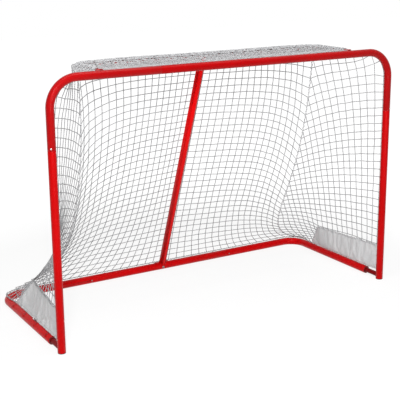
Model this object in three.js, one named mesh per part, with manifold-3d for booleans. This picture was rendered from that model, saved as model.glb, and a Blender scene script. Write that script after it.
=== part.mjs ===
// A street hockey goal: a plug-together frame of painted steel tube with a knotted net and two skirts.
//
// Millimetres. The goal is drawn with x to the right, y back from the goal line, z up from the floor and
// y = 0 on the axes of the posts. At the end it is moved along y, so that its origin is the middle of
// its footprint on the floor. Side -1 is the left of someone who shoots at the goal, and +1 the right.
import * as THREE from "three";
import { mergeVertices } from "three/addons/utils/BufferGeometryUtils.js";
import Module from "manifold-3d";

const wasm = await Module();
wasm.setup();

// ---------------------------------------------------------------------------------------------
// Driving dimensions
// ---------------------------------------------------------------------------------------------
const MOUTH_WIDTH = 1830; // six feet between the posts
const MOUTH_HEIGHT = 1220; // four feet under the crossbar
const BASE_REAR_Y = 776; // axis of the tube that lies behind the goal
const SIDE_TUBE_FRONT_Y = 108; // where each base side tube ends, short of its post
const CORNER_RADIUS = 130; // bend of the axis at the two top corners
const BASE_BEND_RADIUS = 95; // and at the two base corners

const FRONT_TUBE = { radius: 19, wall: 1.5 };
const BASE_TUBE = { radius: 20.5, wall: 1.5 };
const SHELF_TUBE = { radius: 12.5, wall: 1.5 };
const STUB_TUBE = { radius: 12.7, wall: 2 };
const COUPLER_WALL = 2;

const POST_JOINT_Z = 932; // post to corner tube
const CROSSBAR_JOINT_X = 400; // corner tube to crossbar middle
const BASE_JOINT_X = 430; // base corner to base back tube
const COUPLER_REACH = 75; // how far a coupler goes into each of its two tubes

const SHELF_HALF_WIDTH = 685; // shelf bar axis, left and right
const SHELF_DEPTH = 305; // shelf bar axis behind the goal line
const SHELF_Z = 1245;
const SHELF_BEND_RADIUS = 70;
const SHELF_FRONT_Y = 22; // where the shelf bar ends inside its sockets
const SOCKET = { radius: 16, wall: 2.8, from: 14.25, reach: 48 }; // from and reach: behind the goal line
const TEE_HALF_LENGTH = 60;

const STUB_REACH = 60; // how far a stub goes into its side tube
const FOOT_FLANGE = 3;
const FOOT_PLUG_HEIGHT = 24;
const SADDLE = { wall: 2.5, halfLength: 40, fromDegrees: -30, toDegrees: 125 };
const BOLT = { radius: 4, headRadius: 8, headHeight: 4, nutRadius: 7.5, nutHeight: 6.5, drop: 3, tail: 2 };
const CENTRE_POST_SHORT = { head: 6, foot: 14 }; // it ends this far short of the axes that it joins

const BUTTON = { radius: 4, proud: 2.5, hole: 4.4, fromJoint: 11, crownHeight: 1.2, crownRadius: 2.4 };
const STRIP = { thickness: 1.2, width: 7, ahead: 8, behind: 30 }; // spring strip under each button

const NET_CORD = 3.8; // the cord as a square bar
const NET_ROWS = 8;
const BACK_COLUMNS = 12;
const TOP_ROWS = 2;
const SIDE_COLUMNS = 4;
const NET_WRAP = 21.5; // distance of the net from the axis of the shelf bar that it hangs over
const BASE_WRAP = 27; // and from the axis of the base tube
const SHELF_WRAP_DEGREES = 35; // where the back and side panels leave the shelf bar, above its level
const TOP_WRAP_DEGREES = 75; // where the top panel comes down on it
const BASE_WRAP_DEGREES = 60; // where the back panel meets the base tube
const SEAM_CORD_RADIUS = 2.3;
const SEAM_GAP = 6; // edge of a net panel to the middle of its seam cord
const SKIRT_THICKNESS = 3;

const GAP = 0.3; // left between pieces that touch
const TUBE_SIDES = 12;
const BEND_STEPS = 6;
const STUD_SIDES = 6;
const BUTTON_SIDES = 10;
const HOLE_SIDES = 8;
const BEYOND = 5; // how far a cutter goes past what it cuts
const SAME_POINT = 1e-4; // points nearer than this are one

// ---------------------------------------------------------------------------------------------
// Values that follow from them
// ---------------------------------------------------------------------------------------------
const POST_X = MOUTH_WIDTH / 2 + FRONT_TUBE.radius;
const CROSSBAR_Z = MOUTH_HEIGHT + FRONT_TUBE.radius;
const BASE_Z = BASE_TUBE.radius;
const SIDES = { left: -1, right: 1 };
const degrees = THREE.MathUtils.degToRad;
const mix = THREE.MathUtils.lerp;
const vector = (x, y, z) => new THREE.Vector3(x, y, z);

const MATERIALS = {
  paint: { color: 0xc8060c, roughness: 0.28, metalness: 0.15 },
  zinc: { color: 0xb9bcc0, roughness: 0.35, metalness: 0.9 },
  plastic: { color: 0x1b1b1d, roughness: 0.6, metalness: 0 },
  netCord: { color: 0xc9cbcc, roughness: 0.9, metalness: 0 },
  skirtCloth: { color: 0xd2d3d4, roughness: 0.95, metalness: 0 },
};

const goal = new THREE.Group();

function addPiece(name, geometry, finish) {
  const piece = new THREE.Mesh(geometry, new THREE.MeshStandardMaterial(MATERIALS[finish]));
  piece.name = name;
  goal.add(piece);
}

// ---------------------------------------------------------------------------------------------
// Solids
// ---------------------------------------------------------------------------------------------
// A closed geometry as a solid that can be joined and cut, and back again.
function toSolid(geometry) {
  const bare = geometry.clone();
  bare.deleteAttribute("normal");
  bare.deleteAttribute("uv");
  const merged = mergeVertices(bare, SAME_POINT);
  return new wasm.Manifold(new wasm.Mesh({
    numProp: 3,
    vertProperties: Float32Array.from(merged.attributes.position.array),
    triVerts: Uint32Array.from(merged.index.array),
  }));
}

function toGeometry(solid) {
  const mesh = solid.getMesh();
  const geometry = new THREE.BufferGeometry();
  geometry.setAttribute("position", new THREE.BufferAttribute(mesh.vertProperties, 3));
  geometry.setIndex(new THREE.BufferAttribute(mesh.triVerts, 1));
  geometry.computeVertexNormals();
  return geometry;
}

const join = (first, second) => toGeometry(toSolid(first).add(toSolid(second)));
const cut = (body, cutter) => toGeometry(toSolid(body).subtract(toSolid(cutter)));

// A route that a section follows, known only at its stations: its ends and the steps of its bends.
class TubeRoute extends THREE.Curve {
  constructor(stations) {
    super();
    this.stations = stations;
  }

  get steps() {
    return this.stations.length - 1;
  }

  getPoint(t, target = new THREE.Vector3()) {
    return target.copy(this.stations[Math.round(t * this.steps)].point);
  }

  getPointAt(t, target = new THREE.Vector3()) {
    return this.getPoint(t, target);
  }

  getTangentAt(t, target = new THREE.Vector3()) {
    return target.copy(this.stations[Math.round(t * this.steps)].tangent);
  }
}

// The stations of a round bend between two directions.
function bendStations(corner, before, after, radius) {
  const turn = before.angleTo(after);
  const inward = after.clone().addScaledVector(before, -Math.cos(turn)).normalize();
  const start = corner.clone().addScaledVector(before, -radius * Math.tan(turn / 2));
  return Array.from({ length: BEND_STEPS + 1 }, (_, step) => {
    const angle = (turn * step) / BEND_STEPS;
    const point = start.clone().addScaledVector(before, radius * Math.sin(angle));
    point.addScaledVector(inward, radius * (1 - Math.cos(angle)));
    const tangent = before.clone().multiplyScalar(Math.cos(angle)).addScaledVector(inward, Math.sin(angle));
    return { point, tangent };
  });
}

const directionsOf = (points) =>
  points.slice(1).map((point, i) => point.clone().sub(points[i]).normalize());

// Straight runs between corners that are bent round.
function bentRoute(corners, bendRadius = 0) {
  const directions = directionsOf(corners);
  const bends = corners.slice(1, -1).flatMap(
    (corner, i) => bendStations(corner, directions[i], directions[i + 1], bendRadius));
  const first = { point: corners[0], tangent: directions[0] };
  const last = { point: corners.at(-1), tangent: directions.at(-1) };
  return new TubeRoute([first, ...bends, last]);
}

// Straight runs between points, mitred where they meet.
function mitredRoute(points) {
  const directions = directionsOf(points);
  return new TubeRoute(points.map((point, i) => {
    const before = directions[Math.max(i - 1, 0)];
    const after = directions[Math.min(i, directions.length - 1)];
    return { point, tangent: before.clone().add(after).normalize() };
  }));
}

// A many-sided ring of points whose flats lie at the given radius, with flats up, down, left and right.
function ringPoints(radius, sides) {
  const cornerRadius = radius / Math.cos(Math.PI / sides);
  return Array.from({ length: sides }, (_, i) => {
    const angle = ((i + 0.5) * 2 * Math.PI) / sides;
    return new THREE.Vector2(cornerRadius * Math.cos(angle), cornerRadius * Math.sin(angle));
  });
}

// A tube along a route, or a solid rod where the wall is left out.
function tube(route, radius, wall = 0, sides = TUBE_SIDES) {
  const section = new THREE.Shape(ringPoints(radius, sides));
  if (wall > 0) {
    section.holes.push(new THREE.Path(ringPoints(radius - wall, sides)));
  }
  return new THREE.ExtrudeGeometry(section, { steps: route.steps, extrudePath: route });
}

const straightTube = (from, to, radius, wall = 0, sides = TUBE_SIDES) =>
  tube(bentRoute([from, to]), radius, wall, sides);

// Moves a geometry whose own axes are x along, y out and z across to the given place.
function place(geometry, along, out, at) {
  const across = along.clone().cross(out);
  const matrix = new THREE.Matrix4().makeBasis(along, out, across).setPosition(at);
  return geometry.clone().applyMatrix4(matrix);
}

// Cuts a round hole along out, between two distances from a point.
function drill(geometry, at, out, radius, from, to) {
  const start = at.clone().addScaledVector(out, from);
  const end = at.clone().addScaledVector(out, to);
  return cut(geometry, straightTube(start, end, radius, 0, HOLE_SIDES));
}

// A body of revolution about an axis that leaves the given point.
function turned(profile, at, out, sides) {
  const geometry = new THREE.LatheGeometry(profile.map(([r, h]) => new THREE.Vector2(r, h)), sides);
  const along = Math.abs(out.z) > 0.5 ? vector(1, 0, 0) : vector(0, 0, 1);
  return place(geometry, along.cross(out).normalize(), out, at);
}

// ---------------------------------------------------------------------------------------------
// Joints between tubes: an inner coupler, its sprung button and the strip that the button sits on
// ---------------------------------------------------------------------------------------------
// along points from the joint into the tube that the button locks.
function jointOf(name, at, along, out, outerTube) {
  const couplerRadius = outerTube.radius - outerTube.wall - GAP;
  return {
    name,
    at,
    along,
    out,
    outerRadius: outerTube.radius,
    couplerRadius,
    boreRadius: couplerRadius - COUPLER_WALL,
    buttonAt: at.clone().addScaledVector(along, BUTTON.fromJoint),
  };
}

const JOINTS = {};
for (const [side, sign] of Object.entries(SIDES)) {
  const outwardFront = vector(sign * Math.sin(degrees(30)), -Math.cos(degrees(30)), 0);
  JOINTS[`${side}_post`] = jointOf(
    `${side}_post`, vector(sign * POST_X, 0, POST_JOINT_Z), vector(0, 0, 1), outwardFront, FRONT_TUBE);
  JOINTS[`${side}_crossbar`] = jointOf(
    `${side}_crossbar`, vector(sign * CROSSBAR_JOINT_X, 0, CROSSBAR_Z),
    vector(sign, 0, 0), vector(0, 1, 0), FRONT_TUBE);
  JOINTS[`${side}_base`] = jointOf(
    `${side}_base`, vector(sign * BASE_JOINT_X, BASE_REAR_Y, BASE_Z),
    vector(sign, 0, 0), vector(0, -1, 0), BASE_TUBE);
}

const drillForButton = (geometry, joint) =>
  drill(geometry, joint.buttonAt, joint.out, BUTTON.hole, joint.boreRadius / 2, joint.outerRadius + BEYOND);

function coupler(joint) {
  const from = joint.at.clone().addScaledVector(joint.along, -COUPLER_REACH);
  const to = joint.at.clone().addScaledVector(joint.along, COUPLER_REACH);
  return drillForButton(straightTube(from, to, joint.couplerRadius, COUPLER_WALL), joint);
}

const stripTop = (joint) => joint.boreRadius - 2 * GAP;

// The button and the leaf of spring strip that it is riveted to.
function snapButton(joint) {
  const foot = stripTop(joint) - STRIP.thickness / 2;
  const tip = joint.outerRadius + BUTTON.proud;
  const profile = [
    [0, foot], [BUTTON.radius, foot], [BUTTON.radius, tip - BUTTON.crownHeight], [BUTTON.crownRadius, tip],
    [0, tip],
  ];
  const stud = new THREE.LatheGeometry(profile.map(([r, h]) => new THREE.Vector2(r, h)), BUTTON_SIDES);
  const leafLength = STRIP.ahead + STRIP.behind;
  const leaf = new THREE.BoxGeometry(leafLength, STRIP.thickness, STRIP.width);
  leaf.translate(STRIP.ahead - leafLength / 2, stripTop(joint) - STRIP.thickness / 2, 0);
  return place(join(stud, leaf), joint.along, joint.out, joint.buttonAt);
}

// The rest of the strip: it turns back from the leaf and lies against the far wall of the coupler.
function buttonClip(joint) {
  const outer = stripTop(joint);
  const inner = outer - STRIP.thickness;
  const bendX = -STRIP.behind - GAP;
  const outline = new THREE.Shape();
  outline.moveTo(bendX, outer);
  outline.absarc(bendX, 0, outer, Math.PI / 2, (3 * Math.PI) / 2, false);
  outline.lineTo(STRIP.ahead, -outer);
  outline.lineTo(STRIP.ahead, -inner);
  outline.lineTo(bendX, -inner);
  outline.absarc(bendX, 0, inner, (3 * Math.PI) / 2, Math.PI / 2, true);
  outline.closePath();
  const strip = new THREE.ExtrudeGeometry(outline, {
    depth: STRIP.width, bevelEnabled: false, curveSegments: 4,
  });
  strip.translate(0, 0, -STRIP.width / 2);
  return place(strip, joint.along, joint.out, joint.buttonAt);
}

// ---------------------------------------------------------------------------------------------
// Studs welded to the tubes, which the edge of the net is looped over
// ---------------------------------------------------------------------------------------------
const STUD = { neck: 2.2, head: 4.5, height: 5.5, crown: 1 };
const STUD_LEVELS = [154, 304, 454, 604, 754, 1054]; // up each post and its corner tube
const STUD_SPACING = { crossbar: 130, back: 140, side: 145 };
const BACKWARDS = vector(0, 1, 0);

function withStuds(geometry, places, out, tubeRadius, wall) {
  const foot = tubeRadius - wall / 2;
  const tip = tubeRadius + STUD.height;
  const profile = [[0, foot], [STUD.neck, foot], [STUD.head, tip], [0, tip + STUD.crown]];
  return places.reduce((body, at) => join(body, turned(profile, at, out, STUD_SIDES)), geometry);
}

// Places on the right half of a tube that runs across the goal, the first half a spacing from the middle.
function rightHalfPlaces(spacing, count, y, z) {
  return Array.from({ length: count }, (_, i) => vector((i + 0.5) * spacing, y, z));
}

// ---------------------------------------------------------------------------------------------
// Front frame
// ---------------------------------------------------------------------------------------------
function post(sign) {
  const foot = vector(sign * POST_X, 0, FOOT_FLANGE + GAP);
  const head = vector(sign * POST_X, 0, POST_JOINT_Z - GAP / 2);
  const stubFrom = vector(sign * POST_X, FRONT_TUBE.radius - FRONT_TUBE.wall / 2, BASE_Z);
  const stubTo = vector(sign * POST_X, SIDE_TUBE_FRONT_Y + STUB_REACH, BASE_Z);
  const upright = join(
    straightTube(foot, head, FRONT_TUBE.radius, FRONT_TUBE.wall),
    straightTube(stubFrom, stubTo, STUB_TUBE.radius, STUB_TUBE.wall),
  );
  const studs = STUD_LEVELS.filter((z) => z < POST_JOINT_Z).map((z) => vector(sign * POST_X, 0, z));
  return withStuds(upright, studs, BACKWARDS, FRONT_TUBE.radius, FRONT_TUBE.wall);
}

const CROSSBAR_STUDS = rightHalfPlaces(STUD_SPACING.crossbar, 5, 0, CROSSBAR_Z);

// The same places on both halves, of those that lie within a reach of the middle.
function onBothSides(places, reach) {
  return places.filter(({ x }) => x < reach).flatMap(({ x, y, z }) => [vector(-x, y, z), vector(x, y, z)]);
}

// The bent tube over each post, with the socket for the shelf bar welded to its back.
function cornerTube(sign, postJoint) {
  const route = bentRoute([
    vector(sign * POST_X, 0, POST_JOINT_Z + GAP / 2),
    vector(sign * POST_X, 0, CROSSBAR_Z),
    vector(sign * (CROSSBAR_JOINT_X + GAP / 2), 0, CROSSBAR_Z),
  ], CORNER_RADIUS);
  const bend = drillForButton(tube(route, FRONT_TUBE.radius, FRONT_TUBE.wall), postJoint);
  const socket = straightTube(
    vector(sign * SHELF_HALF_WIDTH, SOCKET.from, SHELF_Z),
    vector(sign * SHELF_HALF_WIDTH, SOCKET.reach, SHELF_Z), SOCKET.radius, SOCKET.wall);
  const studs = [
    ...STUD_LEVELS.filter((z) => z > POST_JOINT_Z).map((z) => vector(sign * POST_X, 0, z)),
    ...CROSSBAR_STUDS.filter(({ x }) => x > CROSSBAR_JOINT_X).map(({ x }) => vector(sign * x, 0, CROSSBAR_Z)),
  ];
  return withStuds(join(bend, socket), studs, BACKWARDS, FRONT_TUBE.radius, FRONT_TUBE.wall);
}

function footPlug(sign) {
  const radius = FRONT_TUBE.radius - FRONT_TUBE.wall - GAP;
  const at = vector(sign * POST_X, 0, 0);
  const flange = straightTube(at, at.clone().setZ(FOOT_FLANGE), FRONT_TUBE.radius);
  const middleOfFlange = at.clone().setZ(FOOT_FLANGE / 2);
  return join(flange, straightTube(middleOfFlange, at.clone().setZ(FOOT_PLUG_HEIGHT), radius));
}

for (const [side, sign] of Object.entries(SIDES)) {
  const postJoint = JOINTS[`${side}_post`];
  const crossbarJoint = JOINTS[`${side}_crossbar`];
  addPiece(`${side}_post`, post(sign), "paint");
  addPiece(`${side}_foot_plug`, footPlug(sign), "plastic");
  addPiece(`${side}_corner_tube`, drillForButton(cornerTube(sign, postJoint), crossbarJoint), "paint");
}

function crossbarMiddle() {
  const half = CROSSBAR_JOINT_X - GAP / 2;
  const bar = straightTube(
    vector(-half, 0, CROSSBAR_Z), vector(half, 0, CROSSBAR_Z), FRONT_TUBE.radius, FRONT_TUBE.wall);
  const studs = onBothSides(CROSSBAR_STUDS, CROSSBAR_JOINT_X);
  return withStuds(bar, studs, BACKWARDS, FRONT_TUBE.radius, FRONT_TUBE.wall);
}
addPiece("crossbar_middle", crossbarMiddle(), "paint");

// ---------------------------------------------------------------------------------------------
// Base: a side tube with a bend on each side, and a tube across the back
// ---------------------------------------------------------------------------------------------
const BACK_STUDS = rightHalfPlaces(STUD_SPACING.back, 5, BASE_REAR_Y, BASE_Z);
const SIDE_STUD_COUNT = 4;
const FIRST_SIDE_STUD_Y = 150;
const SIDE_STUD_RISE_DEGREES = 30;

function baseCorner(sign, joint) {
  const route = bentRoute([
    vector(sign * POST_X, SIDE_TUBE_FRONT_Y, BASE_Z),
    vector(sign * POST_X, BASE_REAR_Y, BASE_Z),
    vector(sign * (BASE_JOINT_X + GAP / 2), BASE_REAR_Y, BASE_Z),
  ], BASE_BEND_RADIUS);
  const bend = drillForButton(tube(route, BASE_TUBE.radius, BASE_TUBE.wall), joint);
  const backStuds = BACK_STUDS.filter(({ x }) => x > BASE_JOINT_X).map(
    ({ x }) => vector(sign * x, BASE_REAR_Y, BASE_Z));
  const sideStuds = Array.from({ length: SIDE_STUD_COUNT }, (_, i) =>
    vector(sign * POST_X, FIRST_SIDE_STUD_Y + i * STUD_SPACING.side, BASE_Z));
  const rise = degrees(SIDE_STUD_RISE_DEGREES);
  const upAndOut = vector(sign * Math.cos(rise), 0, Math.sin(rise));
  const body = withStuds(bend, backStuds, BACKWARDS, BASE_TUBE.radius, BASE_TUBE.wall);
  return withStuds(body, sideStuds, upAndOut, BASE_TUBE.radius, BASE_TUBE.wall);
}

for (const [side, sign] of Object.entries(SIDES)) {
  addPiece(`${side}_base_corner`, baseCorner(sign, JOINTS[`${side}_base`]), "paint");

  const bushRadius = BASE_TUBE.radius - BASE_TUBE.wall - GAP;
  addPiece(`${side}_side_tube_bush`, straightTube(
    vector(sign * POST_X, SIDE_TUBE_FRONT_Y, BASE_Z),
    vector(sign * POST_X, SIDE_TUBE_FRONT_Y + STUB_REACH, BASE_Z),
    bushRadius, bushRadius - STUB_TUBE.radius - GAP), "plastic");
}

const BOLT_AT = vector(0, BASE_REAR_Y, BASE_Z - BOLT.drop);

function backTube() {
  const half = BASE_JOINT_X - GAP / 2;
  const bar = straightTube(
    vector(-half, BASE_REAR_Y, BASE_Z), vector(half, BASE_REAR_Y, BASE_Z), BASE_TUBE.radius, BASE_TUBE.wall);
  const reach = BASE_TUBE.radius + BEYOND;
  const drilled = drill(bar, BOLT_AT, BACKWARDS, BOLT.radius + GAP, -reach, reach);
  const studs = onBothSides(BACK_STUDS, BASE_JOINT_X);
  return withStuds(drilled, studs, BACKWARDS, BASE_TUBE.radius, BASE_TUBE.wall);
}
addPiece("base_back_tube", backTube(), "paint");

// ---------------------------------------------------------------------------------------------
// Shelf that carries the top of the net, and the sloping post behind the middle of the goal
// ---------------------------------------------------------------------------------------------
for (const [side, sign] of Object.entries(SIDES)) {
  const route = bentRoute([
    vector(sign * SHELF_HALF_WIDTH, SHELF_FRONT_Y, SHELF_Z),
    vector(sign * SHELF_HALF_WIDTH, SHELF_DEPTH, SHELF_Z),
    vector(sign * GAP, SHELF_DEPTH, SHELF_Z),
  ], SHELF_BEND_RADIUS);
  addPiece(`${side}_shelf_bar`, tube(route, SHELF_TUBE.radius, SHELF_TUBE.wall), "paint");
}

const TEE_AT = vector(0, SHELF_DEPTH, SHELF_Z);
const SADDLE_AT = vector(0, BASE_REAR_Y, BASE_Z);

function alongX(at, halfLength, radius, wall = 0) {
  const from = vector(at.x - halfLength, at.y, at.z);
  const to = vector(at.x + halfLength, at.y, at.z);
  return straightTube(from, to, radius, wall);
}

// A curved plate on the top and the back of the base tube, as a piece of a ring.
function saddlePlate(inner, outer, halfLength) {
  const from = degrees(SADDLE.fromDegrees);
  const to = degrees(SADDLE.toDegrees);
  const outline = new THREE.Shape();
  outline.absarc(0, 0, outer, from, to, false);
  outline.absarc(0, 0, inner, to, from, true);
  outline.closePath();
  const plate = new THREE.ExtrudeGeometry(outline, {
    depth: 2 * halfLength, bevelEnabled: false, curveSegments: 8,
  });
  plate.translate(0, 0, -halfLength);
  return place(plate, vector(0, 1, 0), vector(0, 0, 1), SADDLE_AT);
}

const SADDLE_INNER = BASE_TUBE.radius / Math.cos(Math.PI / TUBE_SIDES) + GAP;
const SADDLE_OUTER = SADDLE_INNER + SADDLE.wall;

function centrePost() {
  const down = SADDLE_AT.clone().sub(TEE_AT).normalize();
  const head = TEE_AT.clone().addScaledVector(down, CENTRE_POST_SHORT.head);
  const foot = SADDLE_AT.clone().addScaledVector(down, -CENTRE_POST_SHORT.foot);
  let body = straightTube(head, foot, FRONT_TUBE.radius, FRONT_TUBE.wall);
  const room = TEE_HALF_LENGTH / 2;
  body = cut(body, alongX(TEE_AT, room, SOCKET.radius + GAP));
  body = cut(body, alongX(SADDLE_AT, room, BASE_TUBE.radius + GAP));
  return cut(body, saddlePlate(BASE_TUBE.radius / 2, SADDLE_OUTER + GAP, SADDLE.halfLength));
}

addPiece("shelf_tee", alongX(TEE_AT, TEE_HALF_LENGTH, SOCKET.radius, SOCKET.wall), "paint");
addPiece("centre_post", centrePost(), "paint");
addPiece("centre_post_saddle", drill(
  saddlePlate(SADDLE_INNER, SADDLE_OUTER, SADDLE.halfLength),
  BOLT_AT, BACKWARDS, BOLT.radius + GAP, BASE_TUBE.radius / 2, SADDLE_OUTER + BEYOND), "paint");

// Distances behind the axis of the base tube.
const BOLT_HEAD_Y = -BASE_TUBE.radius - GAP;
const NUT_Y = SADDLE_OUTER + GAP;
const BOLT_TIP_Y = NUT_Y + BOLT.nutHeight + BOLT.tail;

function saddleBolt() {
  const crown = { radius: BOLT.headRadius * 0.6, y: BOLT_HEAD_Y - BOLT.headHeight * 0.85 };
  const profile = [
    [0, BOLT_HEAD_Y - BOLT.headHeight], [crown.radius, crown.y], [BOLT.headRadius, BOLT_HEAD_Y],
    [BOLT.radius, BOLT_HEAD_Y], [BOLT.radius, BOLT_TIP_Y], [0, BOLT_TIP_Y],
  ];
  return turned(profile, BOLT_AT, BACKWARDS, BUTTON_SIDES);
}

function saddleNut() {
  const flats = BOLT.nutRadius * Math.cos(Math.PI / 6);
  const from = BOLT_AT.clone().addScaledVector(BACKWARDS, NUT_Y);
  const to = from.clone().addScaledVector(BACKWARDS, BOLT.nutHeight);
  return straightTube(from, to, flats, flats - BOLT.radius - GAP, 6);
}

addPiece("saddle_bolt", saddleBolt(), "zinc");
addPiece("saddle_nut", saddleNut(), "zinc");

// ---------------------------------------------------------------------------------------------
// Couplers, snap buttons and their clips
// ---------------------------------------------------------------------------------------------
for (const joint of Object.values(JOINTS)) {
  addPiece(`${joint.name}_coupler`, coupler(joint), "zinc");
  addPiece(`${joint.name}_snap_button`, snapButton(joint), "zinc");
  addPiece(`${joint.name}_button_clip`, buttonClip(joint), "zinc");
}

// ---------------------------------------------------------------------------------------------
// Shape of the hanging net
// ---------------------------------------------------------------------------------------------
const WRAP_OUT = NET_WRAP * Math.cos(degrees(SHELF_WRAP_DEGREES));
const NET_TOP_Z = SHELF_Z + NET_WRAP * Math.sin(degrees(SHELF_WRAP_DEGREES));
const NET_FOOT_Z = BASE_Z + BASE_WRAP * Math.sin(degrees(BASE_WRAP_DEGREES));
const FOOT_OUT = BASE_WRAP * Math.cos(degrees(BASE_WRAP_DEGREES));
const NET_DROP = 120; // how far the middle rows have sunk where the back panel meets a side panel
const DROP_SHARPNESS = 3; // the higher, the nearer the seams the rows start to sink
const DROP_SKEW = 0.9; // below 1 the deepest drop lies higher up the net
const SEAM = { waistX: 650, topCurl: 4, footCurl: 12, lean: 2.3 }; // powers of its fall that bend it
const POST_BULGE = { depth: 5, halfWidth: 90 }; // the back panel stands off round the centre post's head
const EDGE_REACH = 6; // the higher, the less the tubes' bends show in the middle rows

// Distance back of an edge that follows a bar across the goal and its rounded corner.
function roundedEdge(x, halfWidth, depth, bendRadius, out) {
  const past = Math.max(0, Math.abs(x) - (halfWidth - bendRadius));
  return depth - bendRadius + Math.sqrt((bendRadius + out) ** 2 - past ** 2);
}
const shelfEdgeY = (x) => roundedEdge(x, SHELF_HALF_WIDTH, SHELF_DEPTH, SHELF_BEND_RADIUS, WRAP_OUT);
const footEdgeY = (x) => roundedEdge(x, POST_X, BASE_REAR_Y, BASE_BEND_RADIUS, FOOT_OUT);
const cornerPoint = (halfWidth, bendRadius, out) =>
  halfWidth - bendRadius + (bendRadius + out) * Math.SQRT1_2;

const SEAM_TOP_X = cornerPoint(SHELF_HALF_WIDTH, SHELF_BEND_RADIUS, WRAP_OUT);
const SEAM_FOOT_X = cornerPoint(POST_X, BASE_BEND_RADIUS, FOOT_OUT);

// The seam where the back panel meets a side panel, from its top (fall 0) to the base corner (fall 1).
function seamAt(fall) {
  const topShare = (1 - fall) ** SEAM.topCurl;
  const footShare = fall ** SEAM.footCurl;
  const x = SEAM.waistX + (SEAM_TOP_X - SEAM.waistX) * topShare + (SEAM_FOOT_X - SEAM.waistX) * footShare;
  const y = mix(shelfEdgeY(SEAM_TOP_X), footEdgeY(SEAM_FOOT_X), fall ** SEAM.lean);
  return vector(x, y, mix(NET_TOP_Z, NET_FOOT_Z, fall));
}

// The share of its fall that the seam has made where the net's row u, 0 to 1 down the net, meets it.
function seamFall(u) {
  return u + (NET_DROP * Math.sin(Math.PI * u ** DROP_SKEW)) / (NET_TOP_Z - NET_FOOT_Z);
}

// Back panel: across from -1 to 1, and row u. Rows are level in the middle and sink towards the seams.
function backNet(across, u) {
  const s = Math.abs(across);
  const seam = seamAt(seamFall(u));
  const x = across * (seam.x - SEAM_GAP);
  const z = mix(mix(NET_TOP_Z, NET_FOOT_Z, u), seam.z, s ** DROP_SHARPNESS);
  const bulge = POST_BULGE.depth * (1 - u) * Math.max(0, 1 - Math.abs(x) / POST_BULGE.halfWidth);
  const middleY = mix(shelfEdgeY(0), footEdgeY(0), u) + bulge;
  const edgeY = u < 0.5 ? shelfEdgeY(x) : footEdgeY(x);
  const cornerY = u < 0.5 ? shelfEdgeY(SEAM_TOP_X) : footEdgeY(SEAM_FOOT_X);
  const straightY = u < 0.5 ? shelfEdgeY(0) : footEdgeY(0);
  const edgeShare = (straightY - edgeY) / (straightY - cornerY);
  const share = mix(s ** 2, edgeShare, Math.abs(2 * u - 1) ** EDGE_REACH);
  return vector(x, mix(middleY, seam.y, share), z);
}

// Top panel: it lies on the crossbar and the shelf bar. t runs from the front, 0, to the back, 1.
const TOP_LIFT = NET_WRAP * Math.sin(degrees(TOP_WRAP_DEGREES));
const TOP_OUT = NET_WRAP * Math.cos(degrees(TOP_WRAP_DEGREES));
const TOP_FRONT = vector(SHELF_HALF_WIDTH + TOP_OUT, 16, CROSSBAR_Z + 17.5); // its right front corner
const TOP_CORNER_POWER = 6; // the side edges turn in only close to the rear corners
const SOCKET_CLEARANCE_POWER = 8; // the front edge rises only over the sockets, at its ends

function topNet(across, t) {
  const cornerX = cornerPoint(SHELF_HALF_WIDTH, SHELF_BEND_RADIUS, TOP_OUT);
  const x = across * mix(TOP_FRONT.x, cornerX, t ** TOP_CORNER_POWER);
  const rearY = roundedEdge(across * cornerX, SHELF_HALF_WIDTH, SHELF_DEPTH, SHELF_BEND_RADIUS, TOP_OUT);
  const socketRise = (SHELF_Z + TOP_LIFT - TOP_FRONT.z) * Math.abs(across) ** SOCKET_CLEARANCE_POWER;
  const frontZ = TOP_FRONT.z + socketRise;
  return vector(x, mix(TOP_FRONT.y, rearY, t), mix(frontZ, SHELF_Z + TOP_LIFT, t));
}

// Side panel: w runs from the front edge behind the post, 0, to the seam, 1, and u down the net.
const NET_SET_BACK = FRONT_TUBE.radius / Math.cos(Math.PI / TUBE_SIDES) + NET_CORD * 0.75;
const FRONT_EDGE_INSET = 8; // the net's front edge lies this far inside the axis of the frame
const HEM_FRONT_Z = 196;

function sideFrontEdge(u) {
  const bend = CORNER_RADIUS - FRONT_EDGE_INSET;
  const level = POST_X - CORNER_RADIUS - (SHELF_HALF_WIDTH + WRAP_OUT);
  const arc = (bend * Math.PI) / 2;
  const upright = CROSSBAR_Z - CORNER_RADIUS - HEM_FRONT_Z;
  const run = u * (level + arc + upright);
  if (run < level) {
    return vector(SHELF_HALF_WIDTH + WRAP_OUT + run, NET_SET_BACK, CROSSBAR_Z - FRONT_EDGE_INSET);
  }
  const turn = Math.min(1, (run - level) / arc) * (Math.PI / 2);
  const below = Math.max(0, run - level - arc);
  return vector(
    POST_X - CORNER_RADIUS + bend * Math.sin(turn), NET_SET_BACK,
    CROSSBAR_Z - CORNER_RADIUS + bend * Math.cos(turn) - below);
}

const sideTopEdge = (w) => {
  const y = mix(NET_SET_BACK, seamAt(0).y - SEAM_GAP, w);
  const past = Math.max(0, y - (SHELF_DEPTH - SHELF_BEND_RADIUS));
  const bend = SHELF_BEND_RADIUS + WRAP_OUT;
  return vector(SHELF_HALF_WIDTH - SHELF_BEND_RADIUS + Math.sqrt(bend ** 2 - past ** 2), y, NET_TOP_Z);
};

// The panel's edge lies a little outside and in front of the seam.
const sideSeamEdge = (u) => seamAt(seamFall(u)).add(vector(SEAM_GAP * 0.8, -SEAM_GAP, 0));

// The lower edge runs along the top of the skirt, down its back end and along the base corner.
const HEM_CURVE = new THREE.CatmullRomCurve3([
  sideFrontEdge(1), vector(908, 250, 198), vector(876, 478, 192), vector(918, 600, 62), sideSeamEdge(1),
]);

// The upright cords are gathered towards the seams.
const gathered = (share) => Math.sin((Math.PI / 2) * share);

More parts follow.
